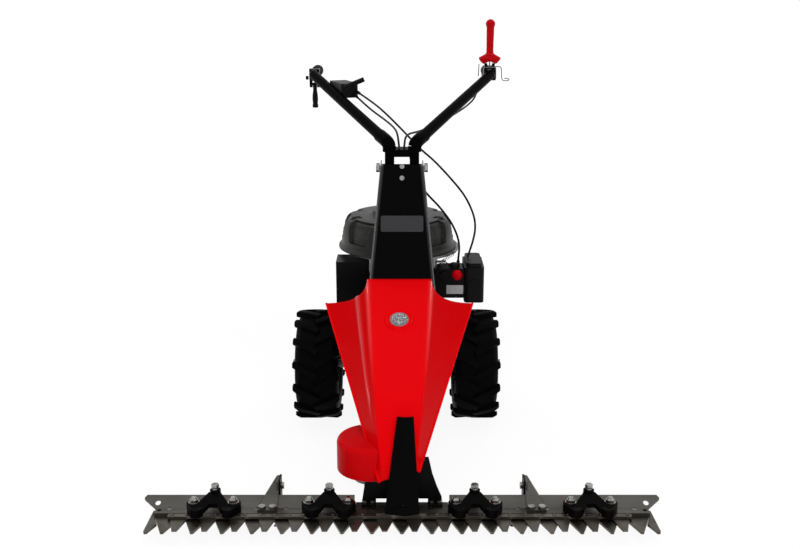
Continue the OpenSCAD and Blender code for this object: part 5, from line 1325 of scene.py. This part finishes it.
@dataclass
class Engine(SubAssembly):
    """Block, shroud, muffler, carburettor, filter and tank."""

    centre: Span = (-13.0, 40.0)
    shroud_wall: float = 2.0
    shroud_rows: int = 150
    shroud_sides: int = 320
    shroud_profile: Profile = (
        (172, 520), (172, 526), (165, 528.5), (163, 531), (163, 550), (163, 568), (161.5, 582),
        (157.5, 594), (151, 604), (144, 609.5), (135, 612.5), (118, 614), (98, 615), (84, 616),
        (77, 618), (74.5, 621), (74, 626), (72.5, 628.4), (69, 629), (50, 629), (30, 629),
        (12, 629), (0, 629),
    )
    sectors: int = 8
    sector_turn: float = 0.5
    dent: float = 10.0
    dent_drop: float = 0.25
    panel_width: Span = (0.5, 0.66)
    panel_spread: Span = (40.0, 110.0)
    panel_edge: float = 0.08
    panel_start: Span = (34.0, 38.0)
    panel_stop: Span = (104.0, 110.0)
    notch_width: Span = (0.22, 0.28)
    notch_start: Span = (96.0, 100.0)
    notch_stop: Span = (126.0, 132.0)
    vents: int = 18
    vent_edge: Span = (0.2, 0.5)
    vent_start: Span = (-64.0, -60.0)
    vent_stop: Span = (-32.0, -28.0)
    vent_depth: float = 3.0
    vent_level: float = 628.0

    box_low: Point = (92.0, -98.0, 400.0)
    box_high: Point = (176.0, -36.0, 486.0)
    box_round: float = 5.0
    box_wide_round: float = 20.0
    box_edge: float = 2.0
    arc_steps: int = 10
    primer: Span = (156.0, 468.0)
    primer_r: float = 15.4
    pocket: float = 6.6
    pipe: Profile = ((0, 0), (20, 0), (20, 15), (0, 15))
    pipe_place: Point = (78.0, -67.0, 452.0)
    boss: Profile = ((0, -1), (12, -1), (12, 8.6), (10.6, 10), (0, 10))
    boss_place: Span = (118.0, 466.0)
    nipple: Profile = ((0, -1), (4.6, -1), (4.6, 15), (3, 18.5), (0, 18.5))
    nipple_place: Span = (160.0, -68.0)
    nipple_sides: int = 24
    knob: Profile = ((0, 14), (9, 14), (12, 12.5), (13, 9), (13, 2), (11, 0.3), (0, 0.3))
    knob_place: Span = (148.0, -85.0)
    round_sides: int = 40
    plate_low: Point = (126.0, -98.8, 412.0)
    plate_high: Point = (174.0, -97.8, 438.0)
    plate_edge: float = 0.3

    spring_ends: Route = ((106.0, -90.0, 500.0), (146.0, -64.0, 520.0))
    spring_axis: Point = (38.0, 24.0, 19.0)
    spring_turns: int = 9
    spring_steps: int = 140
    spring_r: float = 3.6
    spring_wire: float = 0.9
    link_r: float = 1.4
    link_steps: int = 6
    link_sides: int = 8
    links: tuple[Route, ...] = (
        ((98, -74, 474), (99, -84, 492), (106, -90, 501), (112, -86, 494), (114, -80, 484)),
        ((146, -64, 520), (152, -60, 525), (154, -52, 521), (148, -42, 519.6), (138, -34, 519.6)),
        ((106, -58, 484), (115, -70, 508), (126, -70, 498), (136, -60, 485)),
    )
    link_plates: tuple[Route, ...] = (
        ((95, -82, 462), (98, -62, 500)),
        ((98, -72, 497), (124, -69, 503)),
    )

    def dress(self) -> None:
        """Finishes the engine's CAD nodes."""
        dress_nodes(ALLOY, 0.8, "engine_block")
        dress_nodes(HOT_STEEL, 2.0, "muffler")
        dress_nodes(BLACK_SATIN, 1.0, "muffler_guard")
        dress_nodes(PLASTIC, 3.0, "air_filter", "fuel_tank")
        dress_nodes(PLASTIC, 1.2, "engine_caps")
        dress_nodes(PLASTIC, 1.5, "starter_grip")
        dress_nodes(RED_PLASTIC, 0.8, "primer_bulb")

    def build(self) -> None:
        """Adds the shroud, the governor links and the carburettor box with its knob and plate."""
        self.shroud()
        self.governor()
        self.carburettor()
        knob = Skin().lathe(self.knob, (*self.knob_place, self.box_high[2]), UP, self.round_sides)
        knob.piece("choke_knob", PLASTIC, "chassis", "black_plastic")
        plate = Skin().box(self.plate_low, self.plate_high)
        plate.piece(
            "bare_box_plate", BARE_SILVER, "chassis", "black_plastic", bevel=self.plate_edge
        )

    def shroud(self) -> None:
        """Drum r(h) with a round shoulder and a cap; each sector's panel is pushed in between ribs.

        The level is the way walked along the profile. Vents are cos(n a) steps round the cap.
        """
        profile = np.array(self.shroud_profile, float)
        walk = np.cumsum(np.linalg.norm(np.diff(profile, axis=0), axis=1))
        walk = np.concatenate([[0], walk])
        along = np.linspace(0, walk[-1], self.shroud_rows)
        r, z = (np.interp(along, walk, column)[:, None] for column in profile.T)
        level, a = along[:, None], turn_steps(self.shroud_sides)[None]
        off_rib = np.abs((a / FULL_TURN * self.sectors + self.sector_turn) % 1.0 - 0.5) * 2
        width = mix(*self.panel_width, ease(level, *self.panel_spread))
        panel = 1 - ease(off_rib, width, width + self.panel_edge)
        panel = panel * band(level, self.panel_start, self.panel_stop)
        notch = 1 - ease(np.abs(off_rib - 1), *self.notch_width)
        notch = notch * band(level, self.notch_start, self.notch_stop)
        vent = ease(np.cos(a * self.vents), *self.vent_edge) * (z > self.vent_level)
        vent = vent * band(-r, self.vent_start, self.vent_stop)
        dent = self.dent * np.maximum(panel, notch)
        x, y = self.centre[0] + (r - dent) * np.cos(a), self.centre[1] + (r - dent) * np.sin(a)
        pts = np.stack([x, y, z - self.dent_drop * dent - self.vent_depth * vent], -1)
        drum = Skin().grid(pts, ring_cols=True)
        drum.piece(
            "engine_shroud", SHROUD, "chassis", "gloss_black", ("blower_housing",),
            wall=self.shroud_wall,
        )

    def box_outline(self) -> Array:
        """The box from the front: four quarter arcs, point = corner's centre + r (cos a, sin a).

        Returns:
            The x and z of the outline, with one wide top corner.
        """
        (x0, _, z0), (x1, _, z1) = self.box_low, self.box_high
        small, wide = self.box_round, self.box_wide_round
        centres = (
            (x1 - small, z1 - small, small), (x0 + wide, z1 - wide, wide),
            (x0 + small, z0 + small, small), (x1 - small, z0 + small, small),
        )
        x, z, r = np.array(centres).T[:, :, None]
        a = np.linspace(0, QUARTER_TURN, self.arc_steps) + np.arange(4)[:, None] * QUARTER_TURN
        return np.stack([x + r * np.cos(a), z + r * np.sin(a)], -1).reshape(-1, 2)

    def carburettor(self) -> None:
        """Rings from the primer's pocket over the box's outline to its back, then its fittings."""
        front, back, top = self.box_low[1], self.box_high[1], self.box_high[2]
        outline, seat = self.box_outline(), np.array(self.primer)
        circle = seat + self.primer_r * unit(outline - seat)
        middle = np.broadcast_to(seat, outline.shape)
        floor = front + self.pocket
        rings = front_rings((
            (middle, floor), (circle, floor), (circle, front), (outline, front), (outline, back),
            (middle, back),
        ))
        box = Skin().grid(rings, ring_cols=True)
        box.lathe(self.pipe, self.pipe_place, (1, 0, 0), self.round_sides)
        boss_x, boss_z = self.boss_place
        box.lathe(self.boss, (boss_x, front, boss_z), FORWARD, self.round_sides)
        box.lathe(self.nipple, (*self.nipple_place, top), UP, self.nipple_sides)
        box.piece(
            "carburettor_box", PLASTIC, "chassis", "black_plastic", ("carburettor",),
            bevel=self.box_edge,
        )

    def governor(self) -> None:
        """Adds the governor's spring, a helix p + r (cos a side + sin a up), links and plates."""
        a = np.linspace(0, self.spring_turns * FULL_TURN, self.spring_steps)[:, None]
        middle = mix(*self.spring_ends, np.linspace(0, 1, self.spring_steps)[:, None])
        side, up, _ = frame_of(self.spring_axis)
        coil = middle + self.spring_r * (np.cos(a) * side + np.sin(a) * up)
        links = Skin().tube(coil, self.spring_wire, self.link_sides)
        for route in self.links:
            links.tube(soft_path(route, self.link_steps), self.link_r, self.link_sides)
        for low, high in self.link_plates:
            links.box(low, high)
        links.piece("governor_links", TURNED, "chassis", "fastener_steel")


# Studio


@dataclass(frozen=True)
class Lamp:
    """A soft rectangular lamp: place and face in metres, power in watts, and if gloss shows it."""

    name: str
    place: Point
    face: Span
    power: float
    mirrored: bool

    def hang(self, scene: bpy.types.Scene, aim: Point) -> None:
        """Hangs the lamp so that it faces a point.

        Args:
            scene: the scene.
            aim: the point.
        """
        data = bpy.data.lights.new(self.name, "AREA")
        data.shape, data.energy = "RECTANGLE", self.power
        data.size, data.size_y = self.face
        made = bpy.data.objects.new(self.name, data)
        made.location = self.place
        towards = Vector(aim) - Vector(self.place)
        made.rotation_euler = towards.to_track_quat("-Z", "Y").to_euler()
        made.visible_glossy = self.mirrored
        scene.collection.objects.link(made)


@dataclass
class Studio:
    """Camera, pale floor and soft lights, in metres."""

    focal_px: float = 1000.0
    width_px: float = 800.0
    shift_px: float = -2.0
    sensor: float = 36.0
    eye: Point = (0.0, -2.8136, 1.2637)
    pitch: float = 16.304
    aim: Point = (0.0, -0.2, 0.45)
    soft_light: float = 0.28
    floor_half: float = 20.0
    lamps: tuple[Lamp, ...] = (
        Lamp("top_soft", (0.0, -0.6, 3.4), (2.2, 2.2), 26, False),
        Lamp("front_soft", (0.3, -3.6, 1.9), (1.6, 1.6), 58, False),
        Lamp("left_strip", (-2.8, -0.1, 0.85), (0.25, 0.9), 5, True),
        Lamp("right_strip", (2.8, -0.1, 0.85), (0.25, 0.9), 5, True),
        Lamp("left_sky", (-1.3, 1.1, 2.9), (0.3, 0.9), 6, True),
        Lamp("right_sky", (1.3, 1.1, 2.9), (0.3, 0.9), 6, True),
        Lamp("back_soft", (0.5, 3.2, 2.4), (2.0, 2.0), 9, False),
    )

    def build(self) -> None:
        """Makes the camera, the world, the floor and the lamps."""
        scene = bpy.context.scene
        scene.view_settings.view_transform = "Standard"
        self.camera(scene)
        self.world(scene)
        self.floor(scene)
        for lamp in self.lamps:
            lamp.hang(scene, self.aim)

    def camera(self, scene: bpy.types.Scene) -> None:
        """Sets up the camera: its lens is the focal length in pixels, scaled to the sensor.

        Args:
            scene: the scene.
        """
        data = bpy.data.cameras.new("camera")
        data.sensor_width = self.sensor
        data.lens = self.focal_px / self.width_px * self.sensor
        data.shift_x = self.shift_px / self.width_px
        made = bpy.data.objects.new("camera", data)
        made.location = self.eye
        made.rotation_euler = (QUARTER_TURN - math.radians(self.pitch), 0, 0)
        scene.collection.objects.link(made)
        scene.camera = made

    def world(self, scene: bpy.types.Scene) -> None:
        """White backdrop for the camera, plain soft light for the machine.

        Args:
            scene: the scene.
        """
        made = bpy.data.worlds.new("studio")
        made.use_nodes = True
        tree = ShaderTree(made.node_tree)
        white, soft = (
            tree.node("ShaderNodeBackground", {}, {"Color": WHITE, "Strength": strength})
            for strength in (1.0, self.soft_light)
        )
        both = tree.blend(tree.seen(), soft, white)
        tree.node("ShaderNodeOutputWorld", {}, {"Surface": both})
        scene.world = made

    def floor(self, scene: bpy.types.Scene) -> None:
        """Lays the floor, one large square.

        Args:
            scene: the scene.
        """
        s = self.floor_half
        mesh = bpy.data.meshes.new("floor")
        mesh.from_pydata([(-s, -s, 0), (s, -s, 0), (s, s, 0), (-s, s, 0)], [], [(0, 1, 2, 3)])
        mesh.materials.append(PALE_FLOOR.material())
        made = bpy.data.objects.new("floor", mesh)
        scene.collection.objects.link(made)


def main() -> None:
    """Builds the studio, then each sub-assembly in order."""
    logging.basicConfig(level=logging.INFO, format="%(name)s: %(message)s")
    Studio().build()
    for part in (Handlebar(), CutterBar(), Drive(), Hood(), Column(), Engine()):
        part.dress()
        part.build()


if __name__ == "__main__":
    main()
